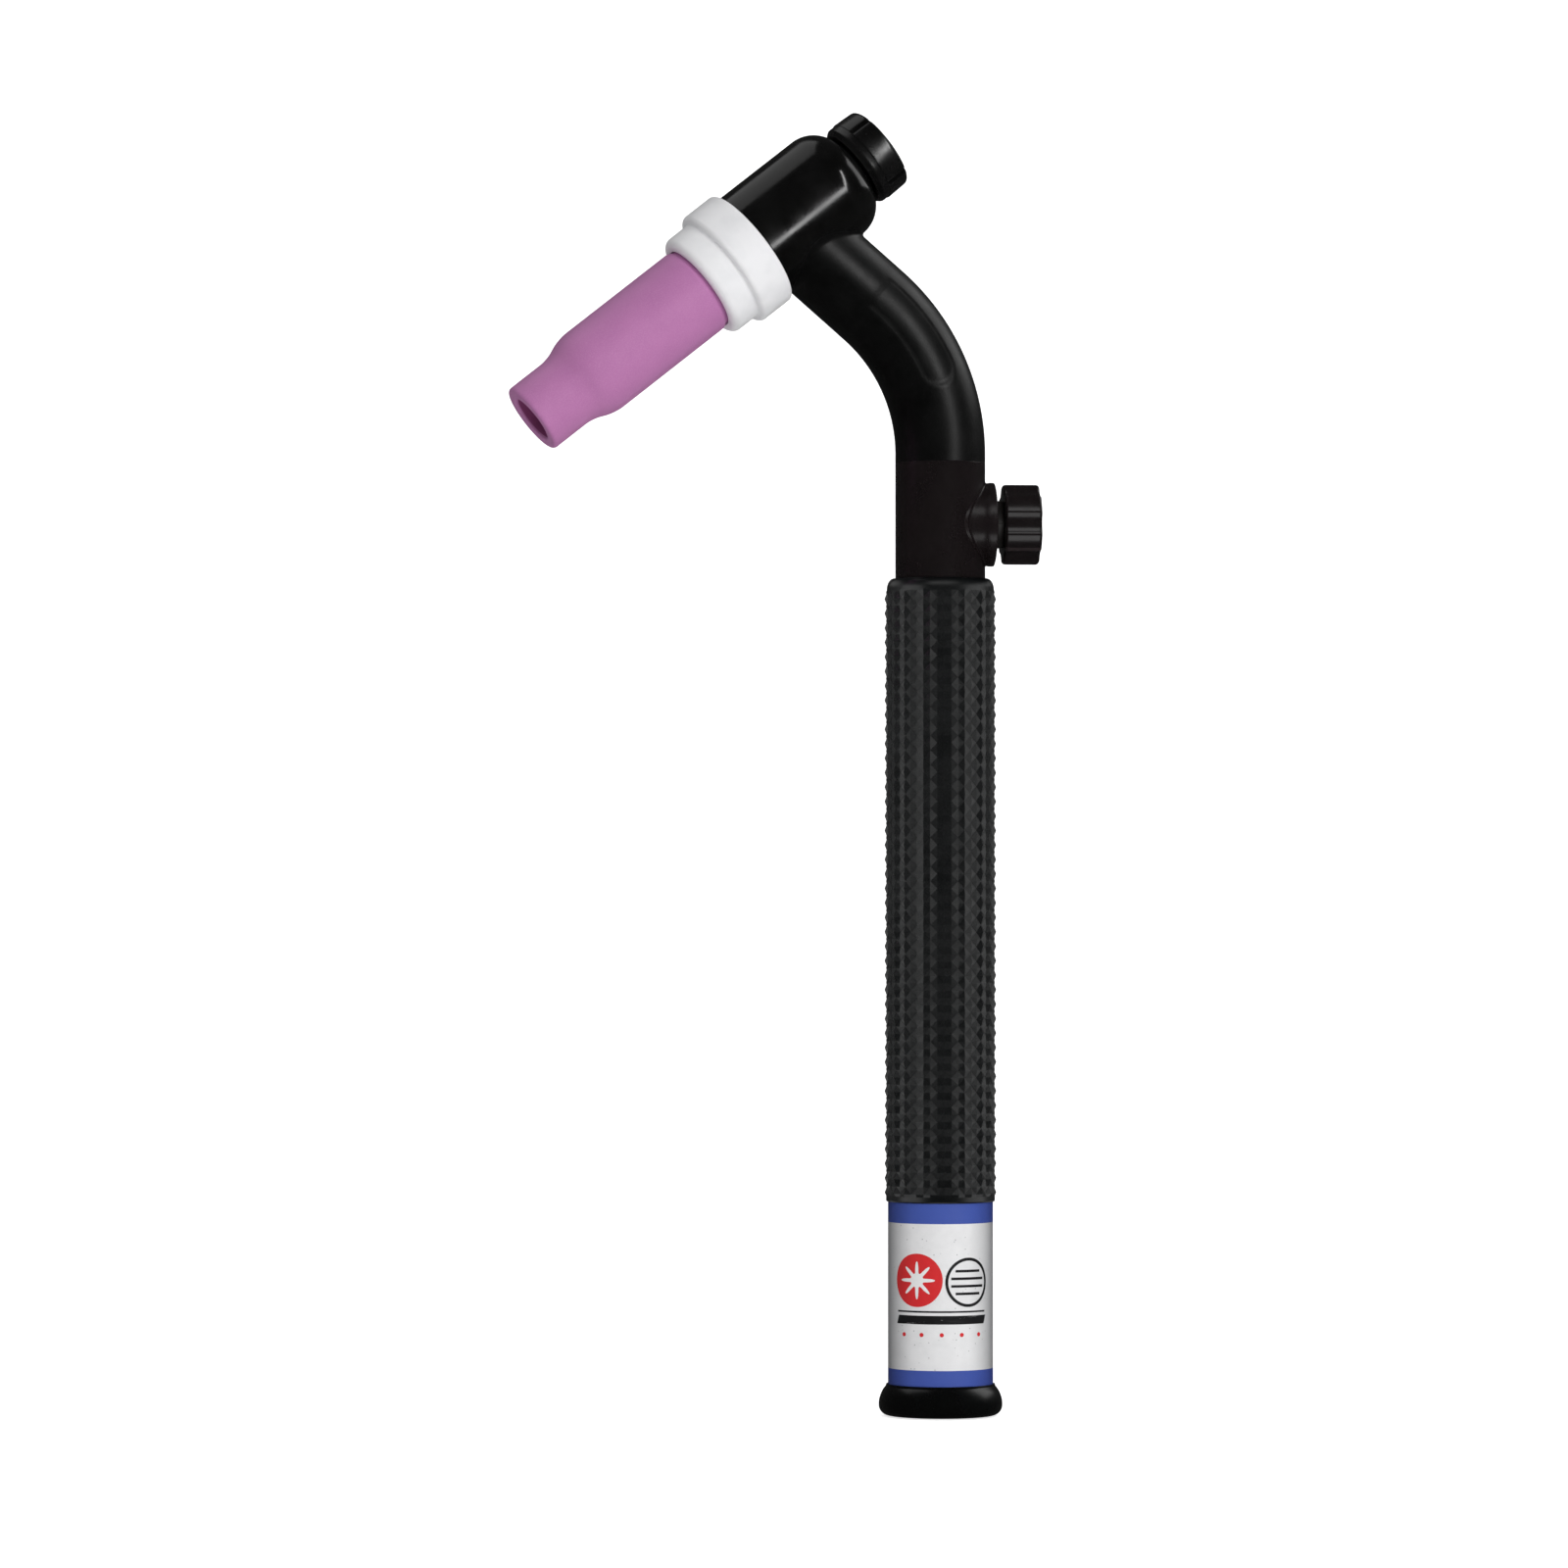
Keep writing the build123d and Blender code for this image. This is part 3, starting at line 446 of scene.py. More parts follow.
@dataclass(frozen=True)
class PrintedFilm(Finish):
    """Polyester film with a printed face: smooth, slightly orange-peeled, with dark flecks in a silver field.

    Attributes:
        name: Material name.
        colour: Ink or film colour.
        fleck: Colour of its flecks and scuffs.
        edge: Painted shade: the colour it darkens to where it turns away from the camera.
        metallic: Near 1 for bare metal on the film, 0 for an ink.
        roughness: Mean roughness.
        fleck_share: How strong the flecks are, 0 to 1.
    """

    name: str
    colour: str
    fleck: str
    edge: str
    metallic: float = 0.0
    roughness: float = 0.35
    fleck_share: float = 0.0

    def paint(self, node: NodeMaker, spot: bpy.types.NodeSocket) -> bpy.types.Node:
        """Orange peel of 1.2 mm, uneven ink of 3 mm, flecks 0.15 mm across, and painted shade where it turns away.
        """
        peel = node("TexNoise", {"Scale": per_metre(1.2), "Detail": 1.0}, {"Vector": spot})
        ink = node("TexNoise", {"Scale": per_metre(3.0), "Detail": 6.0, "Roughness": 0.65}, {"Vector": spot})
        dots = node("TexVoronoi", {"Scale": per_metre(1.4)}, {"Vector": spot})
        fleck = node("MapRange", {"From Min": 0.11, "From Max": 0.07, "To Max": self.fleck_share},
                     {"Value": dots})
        uneven = node("MapRange", {"From Min": 0.4, "From Max": 0.8, "To Max": 0.10}, {"Value": ink})
        share = node("Math", {"operation": "ADD", "use_clamp": True}, {0: fleck, 1: uneven})
        colour = node("Mix", {"data_type": "RGBA", 6: linear(self.colour), 7: linear(self.fleck)}, {0: share})
        # painted shade: the colour darkens towards the edge colour as the surface turns away from the camera
        facing = node("LayerWeight", {"Blend": 0.5}).outputs["Facing"]
        shade = node("MapRange", {"From Min": 0.16, "From Max": 0.7, "To Max": 0.85}, {"Value": facing})
        shaded = node("Mix", {"data_type": "RGBA", 7: linear(self.edge)}, {0: shade, 6: colour})
        dull = node("MapRange", {"To Min": self.roughness - 0.06, "To Max": self.roughness + 0.1},
                    {"Value": ink})
        bump = node("Bump", {"Strength": 0.3, "Distance": 0.01 * MILLIMETRE}, {"Height": peel})
        return node("BsdfPrincipled", {"Metallic": self.metallic},
                    {"Base Color": shaded, "Roughness": dull, "Normal": bump})


# Slip-cast alumina, fired pink and left unglazed: matte, chalky, an even colour with a sandy tooth
ALUMINA = FiredAlumina("fired_pink_alumina", "#C07AB2", "#D095C3", "#AC6AA2")
# the same ceramic in the bore, painted deeper and redder as shade inside the recess
BORE_SHADE_ALUMINA = FiredAlumina("heat_stained_alumina", "#9A4580", "#AD5893", "#7C3065")
# PTFE turned from bar: clean white with a waxy sheen
PTFE = TurnedPtfe("turned_white_ptfe", "#F5F5F7", "#E2E3E5", HEAD)
# Phenolic resin pressed in a polished mould: deep black with crisp reflections
HEAD_PHENOLIC = MouldedPlastic("polished_black_phenolic", "#060606", "#2A2A2A", 0.16, 0.5, 0.008, 0.4)
CAP_PHENOLIC = MouldedPlastic("black_phenolic_cap", "#080808", "#303030", 0.26, 0.4, 0.012, 0.6)
# Silicone rubber moulded over the neck: satin, slightly dusty
NECK_RUBBER = MouldedPlastic("satin_black_silicone", "#060606", "#2A2A2A", 0.36, 0.45, 0.02, 0.2, 0.4)
# Injection-moulded nylon: brownish black, satin on the housing and glossy on the knob
HOUSING_NYLON = MouldedPlastic("brown_black_nylon", "#171213", "#2E2728", 0.27, 0.6, 0.008, 0.3, 0.38)
KNOB_NYLON = MouldedPlastic("glossy_black_nylon", "#120E0F", "#372F30", 0.2, 0.5, 0.008, 0.5)
# Nitrile rubber moulded in an etched die: dark, faintly green-grey where dust sits
GRIP_RUBBER = MouldedPlastic("matte_grip_rubber", "#070A0B", "#1A1F21", 0.33, 0.3, 0.012, 0.1)
# the same rubber, pressed in a polished mould: smoother, with soft highlights
RING_RUBBER = MouldedPlastic("glossy_ring_rubber", "#050606", "#161717", 0.26, 0.5, 0.006, 0.1)
# Nitrile O-rings, as moulded: dull black
ORING_RUBBER = MouldedPlastic("nitrile_oring", "#0C0C0C", "#262626", 0.45, 0.3, 0.01)
# Glass-filled nylon tube: greyish black, dry and slightly rough from the fibres
TUBE_NYLON = MouldedPlastic("glass_filled_nylon", "#16181A", "#303436", 0.55, 0.25, 0.03)
# Brass with a baked black coat: near black and even, paler at worn corners, so it is a coating to the eye
GLAND_BRASS = MouldedPlastic("blackened_brass", "#0C0A0A", "#2F2926", 0.3, 0.3, 0.01, 0.5)
# Turned and drawn metals: fine rings of tool marks, bright, with a slight tarnish in patches
COPPER_HEAD = TurnedMetal("turned_copper_head", "#C9794F", "#8A4B2C", HEAD, 0.3, 0.2)
COPPER_NECK = TurnedMetal("drawn_copper_neck", "#C9794F", "#8A4B2C", HANDLE, 0.32, 0.4)
TUNGSTEN = TurnedMetal("ground_tungsten", "#85878A", "#5A5B5E", HEAD, 0.34, 0.08)
BRASS_HEAD = TurnedMetal("turned_brass_head", "#CDA560", "#8F6E36", HEAD, 0.28, 0.2)
BRASS_TAIL = TurnedMetal("turned_brass_tail", "#CDA560", "#8F6E36", HANDLE, 0.28, 0.2)
STEEL = TurnedMetal("turned_steel", "#A9ABAD", "#77797B", VALVE, 0.26, 0.12)
# Polyester film with a silvery coat, printed with opaque inks: pale, smooth, flecked, and darker at its sides by
# painted shade, whose colour is each finish's third colour
SILVER_FILM = PrintedFilm("silver_film", "#F7F7F8", "#77787A", "#8C8D8F", 0.1, 0.38, 0.5)
BLUE_INK = PrintedFilm("blue_ink", "#4259AE", "#2F4290", "#2A3A80")
RED_INK = PrintedFilm("red_ink", "#DE282C", "#B01D21", "#A01B20")
DARK_INK = PrintedFilm("dark_ink", "#1B1B1D", "#3A3A3C", "#141416")
WHITE_INK = PrintedFilm("white_ink", "#F3F3F3", "#D8D8D8", "#B5B5B5")


# ------------------------------------------------------------------------------------- shape making


@dataclass(frozen=True)
class Corner:
    """One corner of a turned outline.

    Attributes:
        along: Station on the shaft.
        radius: Distance from it.
        rounding: How far the corner is cut back along each side; 0 leaves it sharp.
        steps: Segments of the rounding.
    """

    along: float
    radius: float
    rounding: float = 0.0
    steps: int = 3

    @property
    def point(self) -> Vector:
        """The corner in the plane of the outline."""
        return Vector((self.radius, 0.0, self.along))


def held(corners: Sequence[Corner], closed: bool, hold: float = 0.12) -> list[Corner]:
    """Add plain points close beside rounded corners, which keep long straight sides flat in the light.

    Args:
        corners: The outline.
        closed: Whether its last corner joins its first.
        hold: Distance of the added points from where the rounding ends.

    Returns:
        The outline with its holding points.
    """
    result: list[Corner] = []
    count = len(corners)
    for index, here in enumerate(corners):
        result.append(here)
        if index == count - 1 and not closed:
            break
        there = corners[(index + 1) % count]
        length = (there.point - here.point).length
        if length < here.rounding + there.rounding + 4 * hold:
            continue
        for distance, wanted in ((here.rounding + hold, here.rounding),
                                 (length - there.rounding - hold, there.rounding)):
            if wanted > 0:
                spot = here.point.lerp(there.point, distance / length)
                result.append(Corner(spot.z, spot.x))
    return result


def turned(corners: Sequence[Corner], closed: bool = True, steps: int = 96) -> BMesh:
    """Spin an outline about local Z and round its corners.

    Args:
        corners: The outline, in order; an open one starts or ends on the axis.
        closed: Whether the last corner joins the first.
        steps: Segments round the axis.

    Returns:
        The turned mesh.
    """
    outline = held(corners, closed)
    bm = bmesh.new()
    verts = [bm.verts.new(corner.point) for corner in outline]
    edges = [bm.edges.new(pair) for pair in zip(verts, verts[1:])]
    if closed:
        edges.append(bm.edges.new((verts[-1], verts[0])))
    bmesh.ops.spin(bm, geom=verts + edges, cent=(0, 0, 0), axis=(0, 0, 1), dvec=(0, 0, 0), angle=tau,
                   steps=steps, use_merge=True, use_duplicate=False)
    bmesh.ops.remove_doubles(bm, verts=bm.verts, dist=1e-5)
    for corner in corners:
        if corner.rounding > 0:
            ring = [e for e in bm.edges if all(on_ring(v, corner) for v in e.verts)]
            round_edges(bm, ring, corner.rounding, corner.steps)
    return bm


def on_ring(vert: BMVert, corner: Corner) -> bool:
    """Whether a vertex lies on the ring that a corner makes."""
    return abs(vert.co.z - corner.along) < WELD and abs(vert.co.xy.length - corner.radius) < WELD


def polar(radius: float, angle: float, station: float) -> Vector:
    """The point at a radius and an angle about local Z, at a station along it."""
    return Vector((radius * cos(angle), radius * sin(angle), station))


class RingStack:
    """A shape drawn up ring by ring: each new ring is extruded from the last and put in its place."""

    def __init__(self, columns: int, place: Place) -> None:
        """Start with one ring.

        Args:
            columns: Vertices round the ring.
            place: Gives each column's point.
        """
        self.bm = bmesh.new()
        self.columns = columns
        self.layer = self.bm.verts.layers.int.new("column")
        verts = bmesh.ops.create_circle(self.bm, cap_ends=False, segments=columns, radius=1.0)["verts"]
        for column, vert in enumerate(verts):
            vert[self.layer] = column
            vert.co = place(column)
        self.rings: list[list[BMEdge]] = [list(self.bm.edges)]

    def ring(self, place: Place) -> list[BMVert]:
        """Extrude the next ring and put its vertices where the columns belong.

        Args:
            place: Gives each column's point.

        Returns:
            The ring's vertices.
        """
        made = bmesh.ops.extrude_edge_only(self.bm, edges=self.rings[-1])["geom"]
        verts = [item for item in made if isinstance(item, BMVert)]
        fresh = set(verts)
        self.rings.append([e for e in made if isinstance(e, BMEdge) and fresh.issuperset(e.verts)])
        for vert in verts:
            vert.co = place(vert[self.layer])
        return verts

    def join_ends(self) -> None:
        """Close the shape by bridging the last ring to the first."""
        bmesh.ops.bridge_loops(self.bm, edges=self.rings[0] + self.rings[-1])

    def cap(self, end: End) -> None:
        """Close one end with a flat face."""
        bmesh.ops.edgeloop_fill(self.bm, edges=self.rings[-end.value])


def round_edges(bm: BMesh, edges: Sequence[BMEdge], size: float, steps: int = 2) -> None:
    """Round a set of edges by a small bevel.

    Args:
        bm: The mesh.
        edges: Edges to round.
        size: How far the rounding reaches along each side.
        steps: Its segments.
    """
    bmesh.ops.bevel(bm, geom=list(edges), offset=size, offset_type="OFFSET", affect="EDGES", segments=steps,
                    profile=0.5, material=-1, clamp_overlap=True)


def creased(bm: BMesh, angle: float = SHARP_ANGLE) -> list[BMEdge]:
    """The edges whose faces meet at more than an angle."""
    return [e for e in bm.edges if len(e.link_faces) == 2 and e.calc_face_angle(0.0) > angle]


def finish_piece(bm: BMesh, label: Label, shaft: Shaft, finishes: Sequence[Finish],
                 crease: float = SHARP_ANGLE) -> bpy.types.Object:
    """Turn a mesh in local millimetres into a piece of the model.

    Args:
        bm: The mesh; it is freed.
        label: The piece's name and where it belongs.
        shaft: The axis it was built about.
        finishes: Finishes, in the order of the faces' material numbers.
        crease: Angle between faces above which their edge stays sharp.

    Returns:
        The object.
    """
    bmesh.ops.remove_doubles(bm, verts=bm.verts, dist=WELD)
    bmesh.ops.dissolve_degenerate(bm, edges=bm.edges, dist=1e-5)
    bmesh.ops.recalc_face_normals(bm, faces=bm.faces)
    for face in bm.faces:
        face.smooth = True
    for edge in creased(bm, crease):
        edge.smooth = False
    bm.transform(shaft.matrix())
    mesh = bpy.data.meshes.new(label.name)
    bm.to_mesh(mesh)
    bm.free()
    for finish in finishes:
        mesh.materials.append(finish.material())
    piece = bpy.data.objects.new(label.name, mesh)
    bpy.context.scene.collection.objects.link(piece)
    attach(piece, label.body.value)
    label.slot
    if label.replaces:
        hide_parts(*label.replaces)
    log.info("%s: %d faces", label.name, len(mesh.polygons))
    return piece


def dress(node: str, finish: Finish) -> None:
    """Give a frame node a finish."""
    mesh_slots = frame["nodes"][node].material_slots
    for slot in mesh_slots:
        slot.material = finish.material()
    if not mesh_slots:
        frame["nodes"][node].data.materials.append(finish.material())
    log.info("%s: dressed in %s", node, finish.name)


def fillet_growth(distance: float, radius: float) -> float:
    """How far a concave fillet stands out at a distance from the surface it runs onto."""
    if distance >= radius:
        return 0.0
    return radius - sqrt(max(radius * radius - (radius - distance) ** 2, 0.0))


def step_up(value: float, low: float, high: float) -> float:
    """Smooth 0 to 1 as value goes from low to high."""
    share = min(max((value - low) / (high - low), 0.0), 1.0)
    return share * share * (3 - 2 * share)


# ---------------------------------------------------------------------------------------- front end


@dataclass
class FrontEnd:
    """The ceramic cup, its gasket, and the electrode with its collet.

    Attributes:
        tip_radius: Outside of the cup's narrow tip.
        cup_radius: Outside of its barrel.
        mouth_radius: Its bore at the mouth.
        cup_length: Its whole length, part of it inside the gasket.
        ring_radius: Gasket's front ring.
        flange_radius: Gasket's wide flange.
    """

    tip_radius: float = 7.35
    cup_radius: float = 9.2
    mouth_radius: float = 4.76
    cup_length: float = 47.6
    ring_radius: float = 11.3
    flange_radius: float = 12.84

    def build(self) -> None:
        """Make and dress every piece of the front end."""
        self.cup()
        self.gasket()
        for node in ("collet_body", "collet"):
            dress(node, COPPER_HEAD)
        dress("tungsten_electrode", TUNGSTEN)

    def cup(self) -> bpy.types.Object:
        """Turn the cup: rolled lip, narrow tip, soft shoulder, straight barrel, chamfered heel."""
        bm = turned([
            Corner(0.0, self.mouth_radius, 0.5, 4),
            Corner(0.0, self.tip_radius, 0.7, 5),
            Corner(9.9, self.tip_radius, 1.7, 8),
            Corner(14.3, self.cup_radius, 2.0, 10),
            Corner(42.2, self.cup_radius, 0.35, 3),
            Corner(43.0, 8.7, 0.2, 2),
            Corner(self.cup_length, 8.7),
            Corner(self.cup_length, 6.6),
            Corner(36.0, 6.6),
            Corner(35.0, 5.9),
            Corner(19.0, 5.9, 0.8, 3),
            Corner(14.0, self.mouth_radius, 0.8, 3),
        ])
        # faces in the bore take the deeper alumina, painted shade inside the recess
        for face in bm.faces:
            face.material_index = int(face.calc_center_median().xy.length < 6.5 and self.in_bore(face))
        return finish_piece(bm, Label("alumina_cup", Body.CUP, "alumina_pink", ("nozzle_cup",)), HEAD,
                            [ALUMINA, BORE_SHADE_ALUMINA])

    def in_bore(self, face: BMFace) -> bool:
        """Whether a face of the cup lies in its bore, behind the rolled lip."""
        middle = face.calc_center_median()
        return middle.z > 0.6 and middle.xy.length < self.tip_radius - 0.8

    def gasket(self) -> bpy.types.Object:
        """Turn the gasket: a rounded front ring and a wider flange."""
        bm = turned([
            Corner(43.2, 8.95, 0.15, 2),
            Corner(43.2, self.ring_radius, 1.5, 8),
            Corner(49.2, self.ring_radius, 0.35, 3),
            Corner(49.2, self.flange_radius, 0.9, 6),
            Corner(56.85, self.flange_radius, 0.7, 5),
            Corner(56.85, 7.3),
            Corner(50.0, 7.3),
            Corner(50.0, 6.8),
            Corner(47.6, 6.8),
            Corner(47.6, 8.95),
        ])
        return finish_piece(bm, Label("ptfe_gasket", Body.GASKET, "ptfe_white", ("cup_gasket",)), HEAD, [PTFE])


# --------------------------------------------------------------------------------------------- head


@dataclass
class Head:
    """The barrel that the cup and the back cap screw into.

    Attributes:
        radius: Outside of the barrel.
        front: Station of its front face.
        rear: Station of its rear face.
        dome: Rounding of its rear edge.
        cap_radius: Outside of the back cap.
        cap_end: Station of the cap's rear face.
        slot_half_width: Half the width of the cap's four slots.
        slot_floor: Radius of the slots' floors.
    """

    radius: float = 11.5
    front: float = 56.85
    rear: float = 83.2
    dome: float = 6.5
    cap_radius: float = 8.95
    cap_end: float = 90.45
    slot_half_width: float = 0.6
    slot_floor: float = 8.0

    def build(self) -> None:
        """Make and dress the barrel and the cap."""
        self.barrel()
        self.back_cap()
        dress("head_core", BRASS_HEAD)
        dress("back_cap_insert", BRASS_HEAD)
        dress("back_cap_oring", ORING_RUBBER)

    def barrel(self) -> bpy.types.Object:
        """Turn the barrel, domed at its rear."""
        bm = turned([
            Corner(self.front, 7.05),
            Corner(self.front, self.radius, 0.3, 3),
            Corner(self.rear, self.radius, self.dome, 18),
            Corner(self.rear, 4.85),
            Corner(81.55, 4.85),
            Corner(81.55, 7.05),
        ])
        return finish_piece(bm, Label("head_barrel", Body.TORCH, "black_gloss_moulding", ("head_jacket",)),
                            HEAD, [HEAD_PHENOLIC])

    def slot_angle(self, column: int, per_quarter: int) -> tuple[float, bool]:
        """Where a column of the slotted rim stands.

        Args:
            column: Its number; five columns of each quarter draw one slot.
            per_quarter: Columns in a quarter turn.

        Returns:
            Its angle, and whether it stands on the slot's floor.
        """
        quarter, place = divmod(column, per_quarter)
        centre = radians(45 + 90 * quarter)
        half = asin(self.slot_half_width / self.cap_radius)
        if place < 5:
            return centre + half * (-1, -1, 0, 1, 1)[place], 0 < place < 4
        share = (place - 4) / (per_quarter - 4)
        return centre + half + share * (pi / 2 - 2 * half), False

    def back_cap(self) -> bpy.types.Object:
        """Draw up the cap: bevelled collar, slotted rim, rounded rear edge and a flat end."""
        per_quarter = 26

        def at(along: float, radius: float, floor: float | None = None) -> Place:
            def place(column: int) -> Vector:
                angle, on_floor = self.slot_angle(column, per_quarter)
                reach = min(radius, floor) if on_floor and floor else radius
                return polar(reach, angle, along)
            return place

        stack = RingStack(4 * per_quarter, at(self.rear, 4.55))
        for along, radius in ((83.2, 8.0), (83.55, 8.25), (84.1, 8.7), (84.25, 8.78), (84.5, 8.8), (85.5, 8.8),
                              (85.62, 8.83), (85.7, 8.95)):
            stack.ring(at(along, radius))
        for along, radius in ((85.7, 8.95), (85.9, 8.95), (87.5, 8.9), (89.6, 8.8), (89.85, 8.78),
                              (90.07, 8.71), (90.25, 8.59), (90.38, 8.42), (90.44, 8.24), (90.45, 8.05)):
            stack.ring(at(along, radius, self.slot_floor))
        for radius in (7.99, 7.0, 4.0, 1.5):
            stack.ring(at(self.cap_end, radius))
        stack.cap(End.LAST)
        bmesh.ops.edgeloop_fill(stack.bm, edges=stack.rings[0])
        bmesh.ops.remove_doubles(stack.bm, verts=stack.bm.verts, dist=WELD)
        bmesh.ops.dissolve_degenerate(stack.bm, edges=stack.bm.edges, dist=1e-5)
        rims = [e for e in creased(stack.bm, radians(50)) if min(v.co.z for v in e.verts) > 85.6]
        round_edges(stack.bm, rims, 0.12)
        label = Label("slotted_back_cap", Body.BACK_CAP, "black_cap_moulding", ("back_cap",))
        return finish_piece(stack.bm, label, HEAD, [CAP_PHENOLIC])


# --------------------------------------------------------------------------------------------- neck


@dataclass
class Neck:
    """The bent rubber-covered neck between the valve and the head.

    Attributes:
        radius: Outside of the covering.
        foot: Height of its lower end.
        bend_start: Height at which the bend begins.
        bend_radius: Radius of the bend's centre line.
        bend_angle: How far it turns.
        fillet: Radius of the fillet onto the head's barrel.
        bore: Radius of its bore, over the copper pipe.
        tuck: How far it reaches into the barrel.
        panel_depth: Depth of the oval panel on each side.
        panel_middle: Distance of the panel's middle from the foot, along the centre line.
        panel_half_length: Half its length.
        panel_half_width: Half its width.
        panel_angle: Its middle's angle round from the outer side of the bend.
        columns: Vertices of each ring.
    """

    radius: float = 9.0
    foot: float = 190.3
    bend_start: float = 192.0
    bend_radius: float = 38.4
    bend_angle: float = radians(50)
    fillet: float = 0.75
    bore: float = 3.3
    tuck: float = 0.6
    panel_depth: float = 0.22
    panel_middle: float = 28.0
    panel_half_length: float = 13.0
    panel_half_width: float = 3.9
    panel_angle: float = radians(85)
    columns: int = 120

    @property
    def bend_length(self) -> float:
        """Length of the bend's centre line."""
        return self.bend_radius * self.bend_angle

    def centre_line(self, travel: float) -> tuple[Vector, Vector, Vector]:
        """Follow the centre line.

        Args:
            travel: Distance from the foot.

        Returns:
            The point, the heading, and the direction to the outer side of the bend.
        """
        rise = self.bend_start - self.foot
        turn = min(max((travel - rise) / self.bend_radius, 0.0), self.bend_angle)
        inward, rise_by = self.bend_radius * (1 - cos(turn)), self.bend_radius * sin(turn)
        point = Vector((-inward, 0.0, self.bend_start + rise_by))
        heading = Vector((-sin(turn), 0.0, cos(turn)))
        outer = Vector((cos(turn), 0.0, sin(turn)))
        if travel < rise:
            point = Vector((0.0, 0.0, self.foot + travel))
        elif travel > rise + self.bend_length:
            point += heading * (travel - rise - self.bend_length)
        return point, heading, outer

    def reach_to_barrel(self, start: Vector, heading: Vector, barrel: float) -> float:
        """Distance from a point, along a heading, to the head barrel's surface.

        Args:
            start: The point.
            heading: Unit direction.
            barrel: The barrel's radius.

        Returns:
            The distance to the near side.
        """
        axis = HEAD.direction
        offset = start - HEAD.origin / MILLIMETRE
        across = heading - axis * heading.dot(axis)
        aside = offset - axis * offset.dot(axis)
        a, b, c = across.dot(across), 2 * across.dot(aside), aside.dot(aside) - barrel**2
        return (-b - sqrt(max(b * b - 4 * a * c, 0.0))) / (2 * a)

    def panel(self, travel: float, angle: float) -> float:
        """Depth of the recessed panels at a place on the surface.

        Args:
            travel: Distance along the centre line.
            angle: Angle round from the bend's outer side.

        Returns:
            The depth.
        """
        off_middle = (abs(angle) - self.panel_angle) * self.radius
        length = max(abs(travel - self.panel_middle) - (self.panel_half_length - self.panel_half_width), 0.0)
        distance = sqrt(length**2 + off_middle**2) - self.panel_half_width
        return self.panel_depth * step_up(-distance, -0.1, 0.75)

    def ray(self, outer: Vector, column: int) -> Vector:
        """Direction from the centre line to a column of the covering."""
        angle = tau * column / self.columns
        return outer * cos(angle) + LEVEL_SIDE * sin(angle)

    def on_tube(self, travel: float, shrink: float = 0.0) -> Place:
        """The covering's skin round the centre line.

        Args:
            travel: Distance along the centre line.
            shrink: How far inside the skin the ring lies.

        Returns:
            Each column's point.
        """
        point, _, outer = self.centre_line(travel)

        def place(column: int) -> Vector:
            angle = tau * column / self.columns
            signed = angle if angle <= pi else angle - tau
            return point + self.ray(outer, column) * (self.radius - shrink - self.panel(travel, signed))
        return place

    def on_saddle(self, travel: float, share: float | None, gap: float) -> Place:
        """The covering's skin between its straight end and the head's barrel.

        Args:
            travel: Where the straight end's last ring lies.
            share: How far it has come to the fillet, 0 to 1; None once it is on the fillet.
            gap: Distance from the barrel, on the fillet.

        Returns:
            Each column's point.
        """
        point, heading, outer = self.centre_line(travel)

        def place(column: int) -> Vector:
            ray = self.ray(outer, column)
            if share is not None:
                start = point + ray * self.radius
                reach = self.reach_to_barrel(start, heading, Head.radius) - self.fillet
                return start + heading * reach * share
            start = point + ray * (self.radius + fillet_growth(gap, self.fillet))
            return start + heading * (self.reach_to_barrel(start, heading, Head.radius) - gap)
        return place

    def inside(self, travel: float, radius: float) -> Place:
        """The covering's end, tucked into the barrel.

        Args:
            travel: Where the straight end's last ring lies.
            radius: The ring's radius.

        Returns:
            Each column's point.
        """
        point, heading, outer = self.centre_line(travel)

        def place(column: int) -> Vector:
            start = point + self.ray(outer, column) * radius
            return start + heading * self.reach_to_barrel(start, heading, Head.radius - self.tuck)
        return place

    def in_bore(self, travel: float) -> Place:
        """The ring of the covering's bore at a distance along the neck."""
        point, _, outer = self.centre_line(travel)
        return lambda column: point + self.ray(outer, column) * self.bore

    def build(self) -> None:
        """Draw the covering up ring by ring to its saddle on the barrel, and dress the pipe inside."""
        foot_edge, rows, straight_rows, bore_rows = 0.3, 76, 16, 25
        last = self.bend_start - self.foot + self.bend_length + 2.0
        stack = RingStack(self.columns, self.on_tube(0.0, self.radius - self.bore))
        for travel, shrink in ((0.0, 0.06), (0.06, 0.0), (foot_edge, 0.0)):
            stack.ring(self.on_tube(travel, shrink))
        for row in range(1, rows + 1):
            stack.ring(self.on_tube(foot_edge + (last - foot_edge) * row / rows))
        for row in range(1, straight_rows + 1):
            stack.ring(self.on_saddle(last, row / straight_rows, 0.0))
        for gap in (0.55, 0.4, 0.27, 0.16, 0.08, 0.03, 0.0):
            stack.ring(self.on_saddle(last, None, gap * self.fillet / 0.75))
        stack.ring(self.inside(last, self.radius))
        stack.ring(self.inside(last, self.bore))
        for row in range(1, bore_rows):
            stack.ring(self.in_bore(last * (1 - row / bore_rows)))
        stack.join_ends()
        label = Label("neck_covering", Body.TORCH, "black_neck_rubber", ("neck_jacket",))
        finish_piece(stack.bm, label, HANDLE, [NECK_RUBBER])
        dress("neck_tube", COPPER_NECK)


# -------------------------------------------------------------------------------------------- valve


